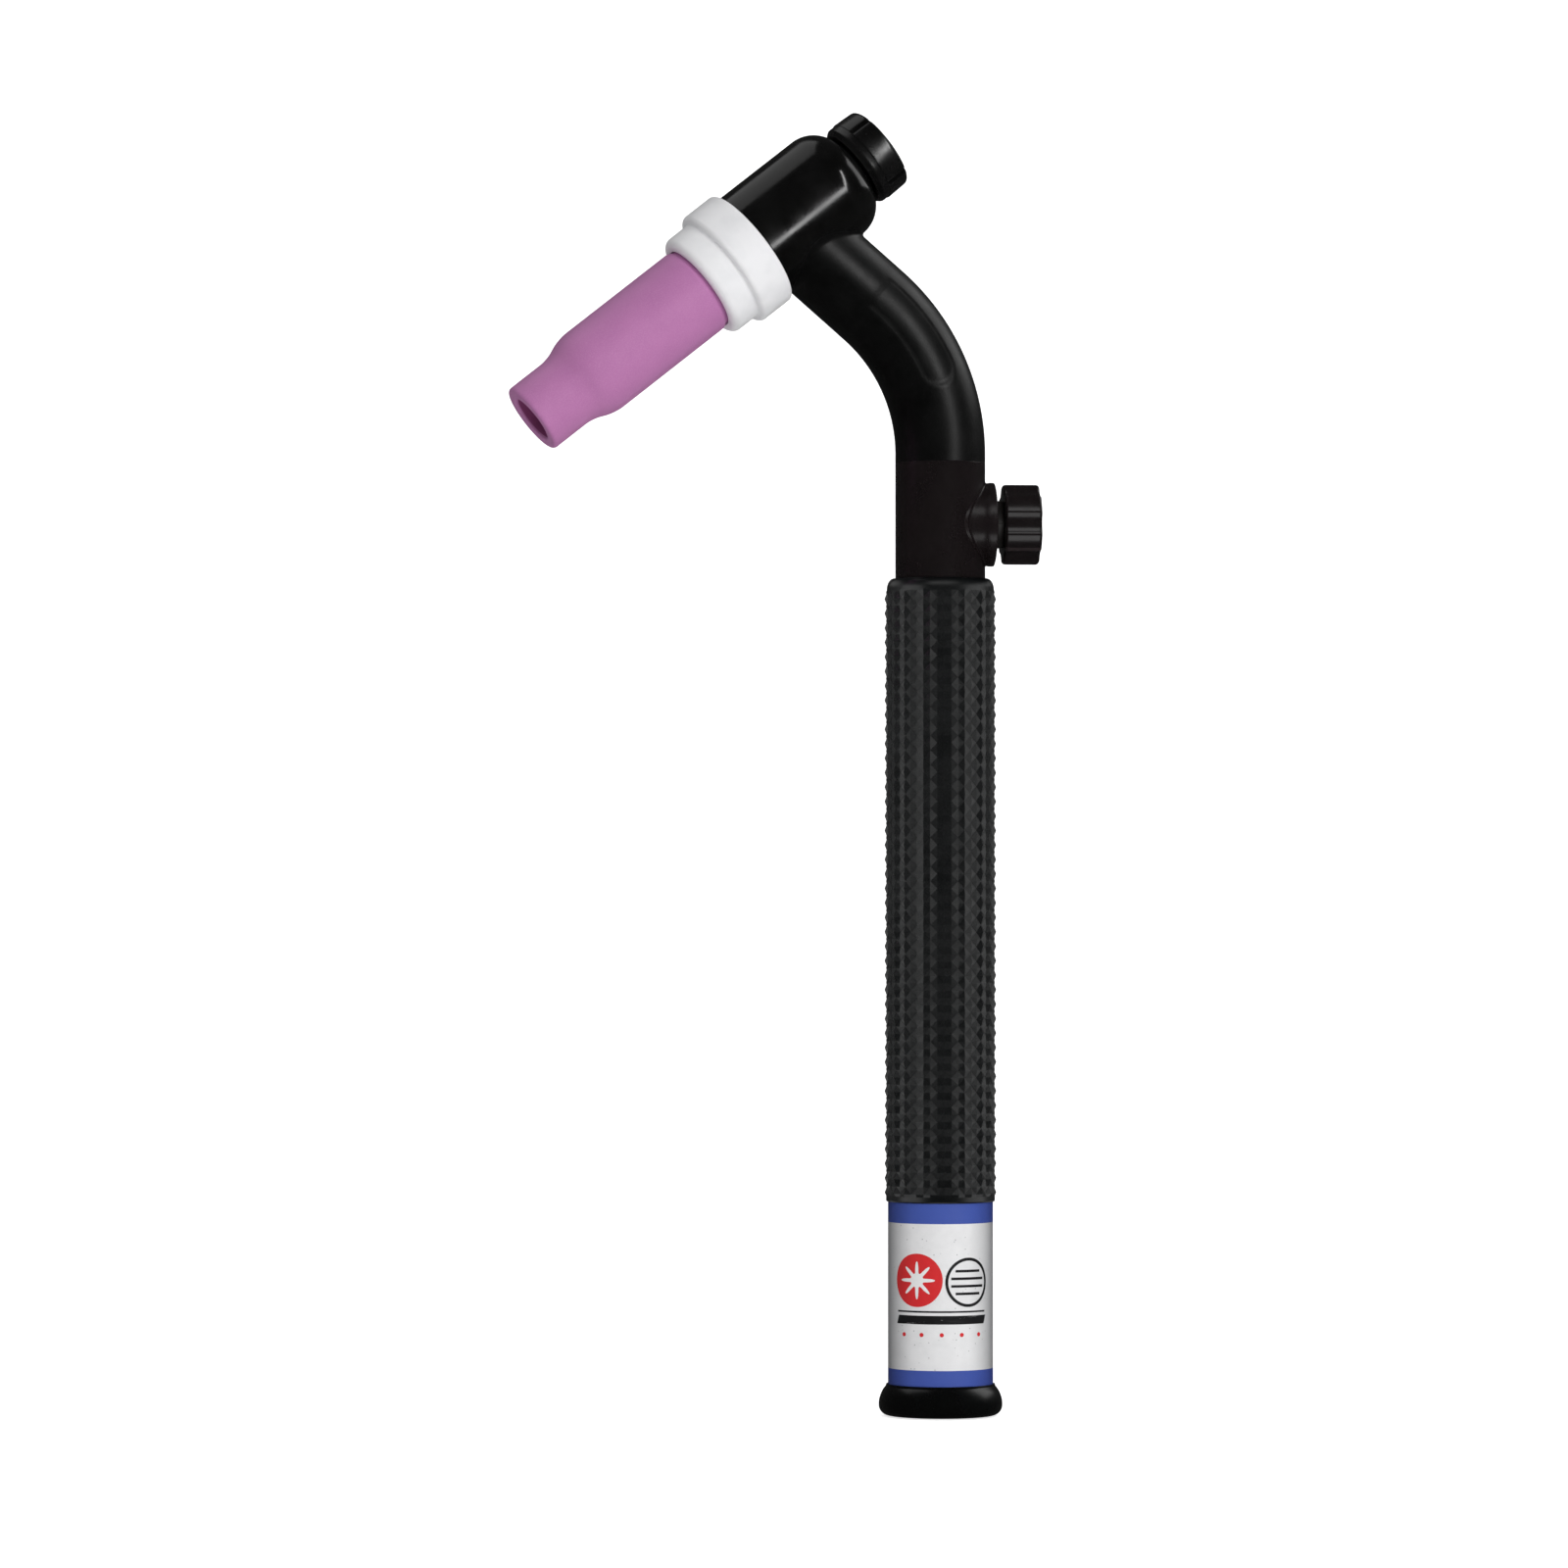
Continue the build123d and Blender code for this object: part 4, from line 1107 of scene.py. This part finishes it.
@dataclass
class Valve:
    """The valve housing on the handle's top, with its gland nut and knob.

    Attributes:
        housing_radius: Outside of the housing's barrel.
        seam: Height of the seam with the neck.
        boss_radius: Outside of the boss where it leaves the barrel.
        disc_radius: Outside of its flared end.
        flare_start: Station at which the flare begins.
        flare_end: Station at which the disc begins.
        boss_end: Station of the disc's face.
        boss_bore: Bore of the boss, over the brass branch.
        hex_radius: Corner radius of the gland nut.
        knob_radius: Outside of the knob.
        knob_start: Station of its rear face.
        knob_end: Station of its front face.
        flutes: How many finger flutes it has.
        flute_radius: Radius of each flute's hollow.
        flute_depth: Depth of each flute.
    """

    housing_radius: float = 9.0
    seam: float = 190.3
    boss_radius: float = 7.7
    disc_radius: float = 8.4
    flare_start: float = 7.5
    flare_end: float = 9.9
    boss_end: float = 10.75
    boss_bore: float = 5.3
    hex_radius: float = 5.35
    knob_radius: float = 8.0
    knob_start: float = 12.45
    knob_end: float = 19.95
    flutes: int = 6
    flute_radius: float = 4.0
    flute_depth: float = 1.0

    def build(self) -> None:
        """Make and dress every piece of the valve."""
        self.barrel()
        self.boss()
        self.gland()
        self.knob()
        dress("valve_core", BRASS_TAIL)
        dress("valve_spindle", STEEL)
        dress("knob_screw", STEEL)
        dress("valve_stem_oring", ORING_RUBBER)

    def barrel(self) -> bpy.types.Object:
        """Turn the housing's barrel with its spigot inside the handle."""
        bm = turned([
            Corner(150.0, 7.25),
            Corner(150.0, 8.15, 0.2, 2),
            Corner(165.95, 8.15),
            Corner(165.95, self.housing_radius),
            Corner(self.seam, self.housing_radius, 0.06, 2),
            Corner(self.seam, 3.25),
            Corner(188.05, 3.25),
            Corner(188.05, 6.05),
            Corner(160.0, 6.05),
            Corner(160.0, 7.25),
        ])
        label = Label("valve_barrel", Body.TORCH, "brown_black_moulding")
        return finish_piece(bm, label, HANDLE, [HOUSING_NYLON])

    def boss_outline(self, station: float) -> float:
        """Radius of the boss at a station."""
        flare = step_up(station, self.flare_start, self.flare_end)
        return self.boss_radius + (self.disc_radius - self.boss_radius) * flare

    def boss(self) -> bpy.types.Object:
        """Draw the boss out from its saddle on the barrel, with a small fillet, to its flared disc."""
        columns, fillet = 120, 0.45

        def saddle(angle: float, barrel: float, radius: float | None = None) -> float:
            """Station at which the boss's skin meets a barrel of that radius."""
            station = barrel
            for _ in range(8):
                reach = self.boss_outline(station) if radius is None else radius
                station = sqrt(max(barrel**2 - (reach * sin(angle)) ** 2, 0.0))
            return station

        def skin(share: float) -> Place:
            def place(column: int) -> Vector:
                angle = tau * column / columns
                foot = saddle(angle, self.housing_radius)
                station = foot + (self.flare_end - foot) * share
                return polar(self.boss_outline(station) + fillet_growth(station - foot, fillet), angle, station)
            return place

        def hidden(radius: float) -> Place:
            def place(column: int) -> Vector:
                angle = tau * column / columns
                return polar(radius, angle, saddle(angle, 8.4, radius))
            return place

        def round_ring(station: float, radius: float) -> Place:
            return lambda column: polar(radius, tau * column / columns, station)

        stack = RingStack(columns, hidden(self.boss_bore))
        stack.ring(hidden(7.9))
        for step in range(13):
            stack.ring(skin((step / 12) ** 1.8))
        stack.ring(round_ring(self.boss_end, self.disc_radius))
        rim = stack.rings[-1]
        stack.ring(round_ring(self.boss_end, self.boss_bore))
        stack.join_ends()
        round_edges(stack.bm, rim, 0.22, 3)
        label = Label("valve_boss", Body.TORCH, "brown_black_moulding", ("valve_housing",))
        return finish_piece(stack.bm, label, VALVE, [HOUSING_NYLON])

    def gland(self) -> bpy.types.Object:
        """Cut the gland nut's hexagon, its corners and rims broken."""
        bm = bmesh.new()
        height = self.knob_start - 0.1 - self.boss_end
        bmesh.ops.create_cone(bm, cap_ends=True, segments=6, radius1=self.hex_radius, radius2=self.hex_radius,
                              depth=height, matrix=Matrix.Translation((0, 0, self.boss_end + height / 2)))
        caps = [f for f in bm.faces if abs(f.normal.z) > 0.9]
        bmesh.ops.inset_region(bm, faces=caps, thickness=2.2, use_even_offset=True)
        middles = [f for f in bm.faces if abs(f.normal.z) > 0.9 and f.calc_center_median().xy.length < 0.1]
        for face in middles:
            for vert in face.verts:
                vert.co.xy = vert.co.xy.normalized() * 2.25
        bmesh.ops.bridge_loops(bm, edges=[e for f in middles for e in f.edges])
        bmesh.ops.delete(bm, geom=middles, context="FACES_ONLY")
        outside = [e for e in bm.edges if all(v.co.xy.length > 4.0 for v in e.verts)]
        round_edges(bm, outside, 0.16, 2)
        label = Label("gland_hexagon", Body.TORCH, "blackened_brass", ("valve_gland_nut",))
        return finish_piece(bm, label, VALVE, [GLAND_BRASS])

    def fluted(self, angle: float) -> float:
        """Radius of the knob's outline at an angle."""
        pitch = tau / self.flutes
        off = abs((angle + pitch / 2) % pitch - pitch / 2)
        centre = self.knob_radius + self.flute_radius - self.flute_depth
        inside = self.flute_radius**2 - (centre * sin(off)) ** 2
        hollow = centre * cos(off) - sqrt(inside) if inside > 0 else self.knob_radius
        # the crests' corners are eased, as a mould leaves them
        ease = 0.1
        gap = self.knob_radius - hollow
        return self.knob_radius - (sqrt(gap * gap + ease * ease) - ease if gap > 0 else 0.0)

    def knob(self) -> bpy.types.Object:
        """Draw up the knob: fluted grip, rolled rims, slightly domed end with a recess for its screw."""
        columns = 216
        phase = radians(30)

        def outline(station: float, inset: float) -> Place:
            def place(column: int) -> Vector:
                angle = tau * column / columns
                return polar(self.fluted(angle - phase) - inset, angle, station)
            return place

        def face(station: float, share: float, radius: float) -> Place:
            """A ring between the fluted outline and a circle."""
            def place(column: int) -> Vector:
                angle = tau * column / columns
                return polar((self.fluted(angle - phase) - 0.75) * (1 - share) + radius * share, angle, station)
            return place

        stack = RingStack(columns, face(self.knob_start, 1.0, 2.3))
        stack.ring(face(self.knob_start, 0.0, 0.0))
        for turn in range(1, 6):
            angle = pi / 2 * turn / 5
            stack.ring(outline(self.knob_start + 0.6 * (1 - cos(angle)), 0.6 * (1 - sin(angle))))
        for share in (0.1, 0.5, 0.9):
            stack.ring(outline(self.knob_start + 0.6 + (self.knob_end - self.knob_start - 1.4) * share, 0.0))
        for turn in range(0, 6):
            angle = pi / 2 * turn / 5
            stack.ring(outline(self.knob_end - 0.2 - 0.6 * (1 - sin(angle)), 0.6 * (1 - cos(angle))))
        for share, lift in ((0.12, 0.08), (0.4, 0.15), (0.9, 0.19), (1.0, 0.2)):
            stack.ring(face(self.knob_end - 0.2 + lift, share, 2.75))
        for station, radius in ((self.knob_end - 0.05, 2.5), (self.knob_end - 0.25, 2.35),
                                (self.knob_end - 0.5, 2.3), (17.85, 2.3), (17.85, 1.8), (12.95, 1.8),
                                (12.95, 2.3)):
            stack.ring(face(station, 1.0, radius))
        stack.join_ends()
        label = Label("fluted_knob", Body.VALVE_STEM, "black_knob_moulding", ("valve_knob",))
        return finish_piece(stack.bm, label, VALVE, [KNOB_NYLON])


# ------------------------------------------------------------------------------------------- handle


@dataclass
class Handle:
    """The rubber grip, the printed film below it and the end ring.

    Attributes:
        peak_radius: Radius at the grip pattern's peaks.
        low_peak_radius: Radius at the lower peaks that stand between them.
        valley_radius: Radius at its valleys.
        foot: Height of the grip's lower edge.
        first_row: Height of the pattern's lowest row of nodes.
        top: Height of its top.
        columns: Nodes of the pattern round the grip, two to a diamond.
        row_height: Height between rows of nodes, half a diamond.
        first_peak: Angle of one column of peaks from +X.
        film_radius: Outside of the printed film.
        film_foot: Its lower edge.
        lower_band: Top of its lower blue band.
        upper_band: Foot of its upper blue band.
        ring_radius: Outside of the end ring.
    """

    peak_radius: float = 11.2
    low_peak_radius: float = 10.9
    valley_radius: float = 10.66
    foot: float = 42.65
    first_row: float = 44.4
    top: float = 167.2
    columns: int = 48
    row_height: float = 1.447
    first_peak: float = radians(-101.8)
    film_radius: float = 10.5
    film_foot: float = 6.3
    lower_band: float = 9.5
    upper_band: float = 38.6
    ring_radius: float = 12.35

    def build(self) -> None:
        """Make and dress every piece of the handle."""
        self.grip()
        self.film()
        self.emblem()
        self.end_ring()
        dress("handle_tube", TUBE_NYLON)
        dress("tail_fitting", BRASS_TAIL)

    def grip(self) -> bpy.types.Object:
        """Draw up the grip: plain foot, pyramids in a diamond grid, rounded shoulder."""
        def plain(station: float, radius: float) -> Place:
            return lambda column: polar(radius, self.first_peak + tau * column / self.columns, station)

        def node(station: float, row: int) -> Place:
            peak = self.low_peak_radius if row % 2 else self.peak_radius

            def place(column: int) -> Vector:
                radius = self.valley_radius if (row + column) % 2 else peak
                return polar(radius, self.first_peak + tau * column / self.columns, station)
            return place

        stack = RingStack(self.columns, plain(self.foot + 0.1, 10.55))
        for station, radius in ((self.foot, 10.6), (self.foot, 10.72), (self.foot + 0.08, 10.84),
                                (self.foot + 0.25, 10.9), (self.first_row - 0.55, 10.9)):
            stack.ring(plain(station, radius))
        rows = int((self.top - 1.4 - self.first_row) / self.row_height)
        valleys: list[BMVert] = []
        for row in range(rows + 1):
            verts = stack.ring(node(self.first_row + row * self.row_height, row))
            valleys += [v for v in verts if (row + v[stack.layer]) % 2]
        shoulder = self.first_row + rows * self.row_height + 0.35
        rise, tuck = self.top - 0.05 - shoulder, 1.4
        for step in range(13):
            turn = pi / 2 * step / 12
            stack.ring(plain(shoulder + rise * sin(turn), 10.75 - tuck * (1 - cos(turn))))
        for station, radius in ((self.top - 0.05, 9.25), (self.top - 0.12, 9.12), (self.top - 0.3, 9.05),
                                (166.2, 9.04), (166.1, 10.0), (44.5, 10.0), (44.3, 10.55)):
            stack.ring(plain(station, radius))
        stack.join_ends()
        bmesh.ops.connect_verts(stack.bm, verts=valleys)
        return finish_piece(stack.bm, Label("knurled_grip", Body.TORCH, "grip_rubber", ("grip_sleeve",)),
                            HANDLE, [GRIP_RUBBER], crease=radians(10))

    def film(self) -> bpy.types.Object:
        """Turn the film, silver between two blue bands."""
        bm = turned([
            Corner(self.film_foot, 10.36),
            Corner(self.film_foot, self.film_radius),
            Corner(self.lower_band, self.film_radius),
            Corner(self.upper_band, self.film_radius),
            Corner(43.9, self.film_radius),
            Corner(43.9, 10.36),
        ], steps=128)
        for face in bm.faces:
            middle = face.calc_center_median()
            face.material_index = int(middle.z < self.lower_band or middle.z > self.upper_band)
        return finish_piece(bm, Label("printed_film", Body.TORCH, "label_film", ("label_wrap",)),
                            HANDLE, [SILVER_FILM, BLUE_INK])

    def patch(self, name: str, outline: Callable[[float], tuple[float, float]], columns: int, finish: Finish,
              lift: float = 0.03, hole: float = 0.02) -> bpy.types.Object:
        """Print one patch of ink: a shape drawn about its middle and wrapped round the film.

        Args:
            name: The piece's name.
            outline: Gives the edge's distance round the film and height, for a share of a turn.
            columns: Points round its edge.
            finish: Its ink.
            lift: How far it stands off the film.
            hole: Size of the hole in its middle, as a share of the outline.

        Returns:
            The piece.
        """
        middle = Vector((0.0, 0.0))
        for column in range(columns):
            middle += Vector(outline(column / columns)) / columns

        def at(share: float, radius: float) -> Place:
            def place(column: int) -> Vector:
                spot = middle.lerp(Vector(outline(column / columns)), share)
                return polar(radius, FACING + spot.x / self.film_radius, spot.y)
            return place

        top = self.film_radius + lift
        stack = RingStack(columns, at(hole, self.film_radius - 0.02))
        stack.ring(at(1.0, self.film_radius - 0.02))
        for step in range(8):
            stack.ring(at(1.0 - (1.0 - hole) * step / 7, top))
        stack.join_ends()
        return finish_piece(stack.bm, Label(name, Body.TORCH, "label_film"), HANDLE, [finish])

    def emblem(self) -> None:
        """Print a plain red disc with a white starburst, a barred dark ring, two rules and five dots."""
        def disc(x: float, z: float, radius: float) -> Callable[[float], tuple[float, float]]:
            return lambda share: (x + radius * cos(tau * share), z + radius * sin(tau * share))

        def burst(share: float) -> tuple[float, float]:
            reach = 1.4 + 2.4 * abs(cos(tau * share * 4)) ** 5
            return -5.1 + reach * cos(tau * share), 27.4 + reach * sin(tau * share)

        def slab(left: float, low: float, width: float, height: float,
                 lean: float = 0.0) -> Callable[[float], tuple[float, float]]:
            def outline(share: float) -> tuple[float, float]:
                side, along = divmod(share * 4, 1.0)
                x, y = ((along, 0), (1, along), (1 - along, 1), (0, 1 - along))[int(side) % 4]
                return left + width * x + lean * y, low + height * y
            return outline

        self.patch("red_disc", disc(-5.1, 27.4, 5.3), 64, RED_INK)
        self.patch("white_starburst", burst, 128, WHITE_INK, 0.05)
        self.patch("dark_ring", disc(5.6, 27.0, 4.9), 64, DARK_INK, hole=0.88)
        for number, (height, width) in enumerate(((29.0, 5.6), (27.5, 7.4), (26.0, 7.4), (24.5, 5.6))):
            self.patch(f"ring_bar_{number + 1}", slab(5.6 - width / 2, height, width, 0.5), 48, DARK_INK)
        self.patch("light_rule", slab(-10.0, 21.0, 20.0, 0.35), 96, DARK_INK)
        self.patch("heavy_rule", slab(-10.3, 18.7, 20.0, 1.7, 0.6), 96, DARK_INK)
        for number in range(5):
            self.patch(f"red_dot_{number + 1}", disc(4.1 * (number - 2), 16.6, 0.42), 20, RED_INK)

    def end_ring(self) -> bpy.types.Object:
        """Turn the end ring: a full round edge, and a small lip against the film."""
        bm = turned([
            Corner(0.0, 8.02, 0.3, 2),
            Corner(0.0, self.ring_radius, 2.0, 12),
            Corner(4.3, self.ring_radius, 1.85, 12),
            Corner(5.9, 10.9, 0.2, 3),
            Corner(6.3, 10.9, 0.15, 2),
            Corner(6.3, 10.37),
            Corner(1.0, 10.37),
            Corner(1.0, 8.02),
        ])
        return finish_piece(bm, Label("rounded_end_ring", Body.TORCH, "end_ring_rubber", ("end_ring",)),
                            HANDLE, [RING_RUBBER])


# ------------------------------------------------------------------------------------------- studio


@dataclass
class Studio:
    """Camera, lights, floor and backdrop.

    Attributes:
        camera_place: Camera's position, metres.
        camera_pitch: How far it looks up, degrees.
        camera_back: Level direction from the torch to the camera.
        lens: Focal length over a 36 mm sensor.
    """

    camera_place: Vector
    camera_back: Vector
    camera_pitch: float = 0.737
    lens: float = 152.17

    @property
    def right(self) -> Vector:
        """Level direction to the camera's right."""
        return Vector((0, 0, 1)).cross(self.camera_back).normalized()

    def build(self) -> None:
        """Set the stage."""
        self.camera()
        self.stage()
        self.world()
        self.lights()

    def camera(self) -> None:
        """Place the camera."""
        data = bpy.data.cameras.new("camera")
        data.lens, data.sensor_width = self.lens, 36.0
        data.clip_start, data.clip_end = 0.05, 50.0
        camera = bpy.data.objects.new("camera", data)
        pitch = radians(self.camera_pitch)
        look = -self.camera_back.normalized() * cos(pitch) + Vector((0, 0, 1)) * sin(pitch)
        camera.location = self.camera_place
        camera.rotation_mode = "QUATERNION"
        camera.rotation_quaternion = look.to_track_quat("-Z", "Y")
        bpy.context.scene.collection.objects.link(camera)
        bpy.context.scene.camera = camera

    def stage(self) -> None:
        """Make a pale sheet that runs over the floor and curves up behind the torch."""
        bm = bmesh.new()
        profile = [(-9.0, 0.0), (1.2, 0.0), (1.2, 3.0)]
        verts = [bm.verts.new((-9.0, y, z)) for y, z in profile]
        edges = [bm.edges.new(pair) for pair in zip(verts, verts[1:])]
        bmesh.ops.bevel(bm, geom=[verts[1]], offset=0.8, offset_type="OFFSET", affect="VERTICES", segments=16,
                        profile=0.5, material=-1)
        made = bmesh.ops.extrude_edge_only(bm, edges=bm.edges[:])["geom"]
        bmesh.ops.translate(bm, vec=(18, 0, 0), verts=[v for v in made if isinstance(v, BMVert)])
        turn = atan2(-self.camera_back.y, -self.camera_back.x) - pi / 2
        bmesh.ops.rotate(bm, cent=(0, 0, 0), verts=bm.verts, matrix=Matrix.Rotation(turn, 3, "Z"))
        bmesh.ops.translate(bm, vec=(0, 0, -0.0002), verts=bm.verts)
        bmesh.ops.recalc_face_normals(bm, faces=bm.faces)
        for face in bm.faces:
            face.smooth = True
        mesh = bpy.data.meshes.new("paper_sweep")
        bm.to_mesh(mesh)
        bm.free()
        sheet = bpy.data.objects.new("paper_sweep", mesh)
        bpy.context.scene.collection.objects.link(sheet)
        material = bpy.data.materials.new("white_paper")
        material.use_nodes = True
        tree = material.node_tree
        tree.nodes.clear()
        # paper lit by its own lamps, which reach nothing else in the room
        path = add_node(tree, "LightPath")
        glow = add_node(tree, "Math", {"operation": "MULTIPLY", 1: 0.75},
                        {0: path.outputs["Is Camera Ray"]})
        shader = add_node(tree, "BsdfPrincipled",
                          {"Base Color": linear("#F2F2F2"), "Roughness": 0.9,
                           "Emission Color": linear("#FFFFFF")},
                          {"Emission Strength": glow.outputs["Value"]})
        add_node(tree, "OutputMaterial", links={"Surface": shader.outputs["BSDF"]})
        mesh.materials.append(material)
        sheet.visible_glossy = sheet.visible_shadow = False
        sheet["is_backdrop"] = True

    def world(self) -> None:
        """Fill the room with even white light, dimmer where it is only mirrored."""
        world = bpy.data.worlds.new("room")
        bpy.context.scene.world = world
        world.use_nodes = True
        tree = world.node_tree
        tree.nodes.clear()
        path = add_node(tree, "LightPath")
        strength = add_node(tree, "MapRange", {"To Min": 0.36, "To Max": 0.03},
                            {"Value": path.outputs["Is Glossy Ray"]})
        light = add_node(tree, "Background", {"Color": linear("#FFFFFF")},
                         {"Strength": strength.outputs["Result"]})
        add_node(tree, "OutputWorld", links={"Surface": light.outputs["Background"]})

    def softbox(self, name: str, azimuth: float, elevation: float, distance: float, size: tuple[float, float],
                power: float, only: Sequence[str] = (), mirrored: bool = True) -> None:
        """Hang a softbox that faces the torch's middle.

        Args:
            name: Its name.
            azimuth: Degrees to the right of the camera.
            elevation: Degrees above the level.
            distance: Metres from the torch's middle.
            size: Width and height in metres.
            power: Watts.
            only: Pieces that it lights; all of them if none is named.
            mirrored: Whether glossy surfaces show it.
        """
        data = bpy.data.lights.new(name, "AREA")
        data.shape, data.size, data.size_y, data.energy = "RECTANGLE", size[0], size[1], power
        lamp = bpy.data.objects.new(name, data)
        level = self.camera_back.normalized() * cos(radians(azimuth)) + self.right * sin(radians(azimuth))
        toward = level * cos(radians(elevation)) + Vector((0, 0, 1)) * sin(radians(elevation))
        centre = Vector((-0.02, 0.0, 0.15))
        lamp.location = centre + toward * distance
        lamp.rotation_mode = "QUATERNION"
        lamp.rotation_quaternion = (-toward).to_track_quat("-Z", "Y")
        lamp.visible_camera, lamp.visible_glossy = False, mirrored
        bpy.context.scene.collection.objects.link(lamp)
        if only:
            lit = bpy.data.collections.new(f"{name}_lit")
            for piece in only:
                lit.objects.link(bpy.data.objects[piece])
            lamp.light_linking.receiver_collection = lit

    def lights(self) -> None:
        """Hang the key, its fills, and the banks of panels that bring out the grip's facets."""
        head = ("head_barrel", "slotted_back_cap")
        front = ("alumina_cup", "ptfe_gasket")
        small = ("neck_covering", "slotted_back_cap") + front
        grip = ("knurled_grip",)
        valve = ("knurled_grip", "valve_boss", "fluted_knob", "gland_hexagon")
        film = tuple(piece.name for piece in bpy.data.objects if piece.name.startswith(PRINTED))
        small += film
        others = tuple(piece.name for piece in bpy.data.objects
                       if piece.type == "MESH" and piece.name not in grip)
        self.softbox("key_strip", 38.0, 14.0, 1.6, (0.14, 1.3), 6.0, head)
        self.softbox("small_key", 38.0, 17.0, 1.6, (0.2, 0.5), 3.6, small)
        self.softbox("front_fill", 24.0, 18.0, 1.6, (1.0, 1.0), 9.0, others, mirrored=False)
        self.softbox("under_fill", 35.0, -48.0, 1.6, (0.8, 0.8), 3.0, front, mirrored=False)
        self.softbox("film_fill", -6.0, 12.0, 1.6, (0.5, 0.8), 2.6, film, mirrored=False)
        self.softbox("high_left", -112.0, 60.0, 1.8, (1.5, 1.2), 3.6, others)
        self.softbox("right_rim", 112.0, 34.0, 1.8, (1.1, 1.1), 6.0, others)
        self.softbox("left_wing", -67.0, 0.0, 1.7, (1.7, 1.4), 9.0, grip)
        self.softbox("right_wing", 79.0, 0.0, 1.7, (1.7, 1.4), 9.0, grip)
        for side, up in (("top", 1.0), ("low", -1.0)):
            self.softbox(f"front_{side}", 5.0, 40.0 * up, 1.7, (1.7, 0.55), 4.2, valve)
            self.softbox(f"left_{side}", -124.0, 21.0 * up, 1.8, (1.2, 0.6), 1.6, grip)
            self.softbox(f"right_{side}", 126.0, 21.0 * up, 1.8, (1.1, 0.6), 1.6, grip)


def write_sizes() -> None:
    """Gather the frame's box and the finished model's box; they are not written anywhere."""
    boxes = {"cad": [list(corner) for corner in cad_bounds], "visual": [list(corner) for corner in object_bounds()]}


def main() -> None:
    """Build the torch and its studio."""
    logging.basicConfig(level=logging.INFO, format="%(name)s %(message)s")
    for assembly in (FrontEnd(), Head(), Neck(), Valve(), Handle()):
        log.info("building %s", type(assembly).__name__)
        assembly.build()
    Studio(CAMERA_PLACE, CAMERA_BACK).build()
    bpy.context.scene.view_settings.view_transform = "Standard"
    write_sizes()


if __name__ == "__main__":
    main()
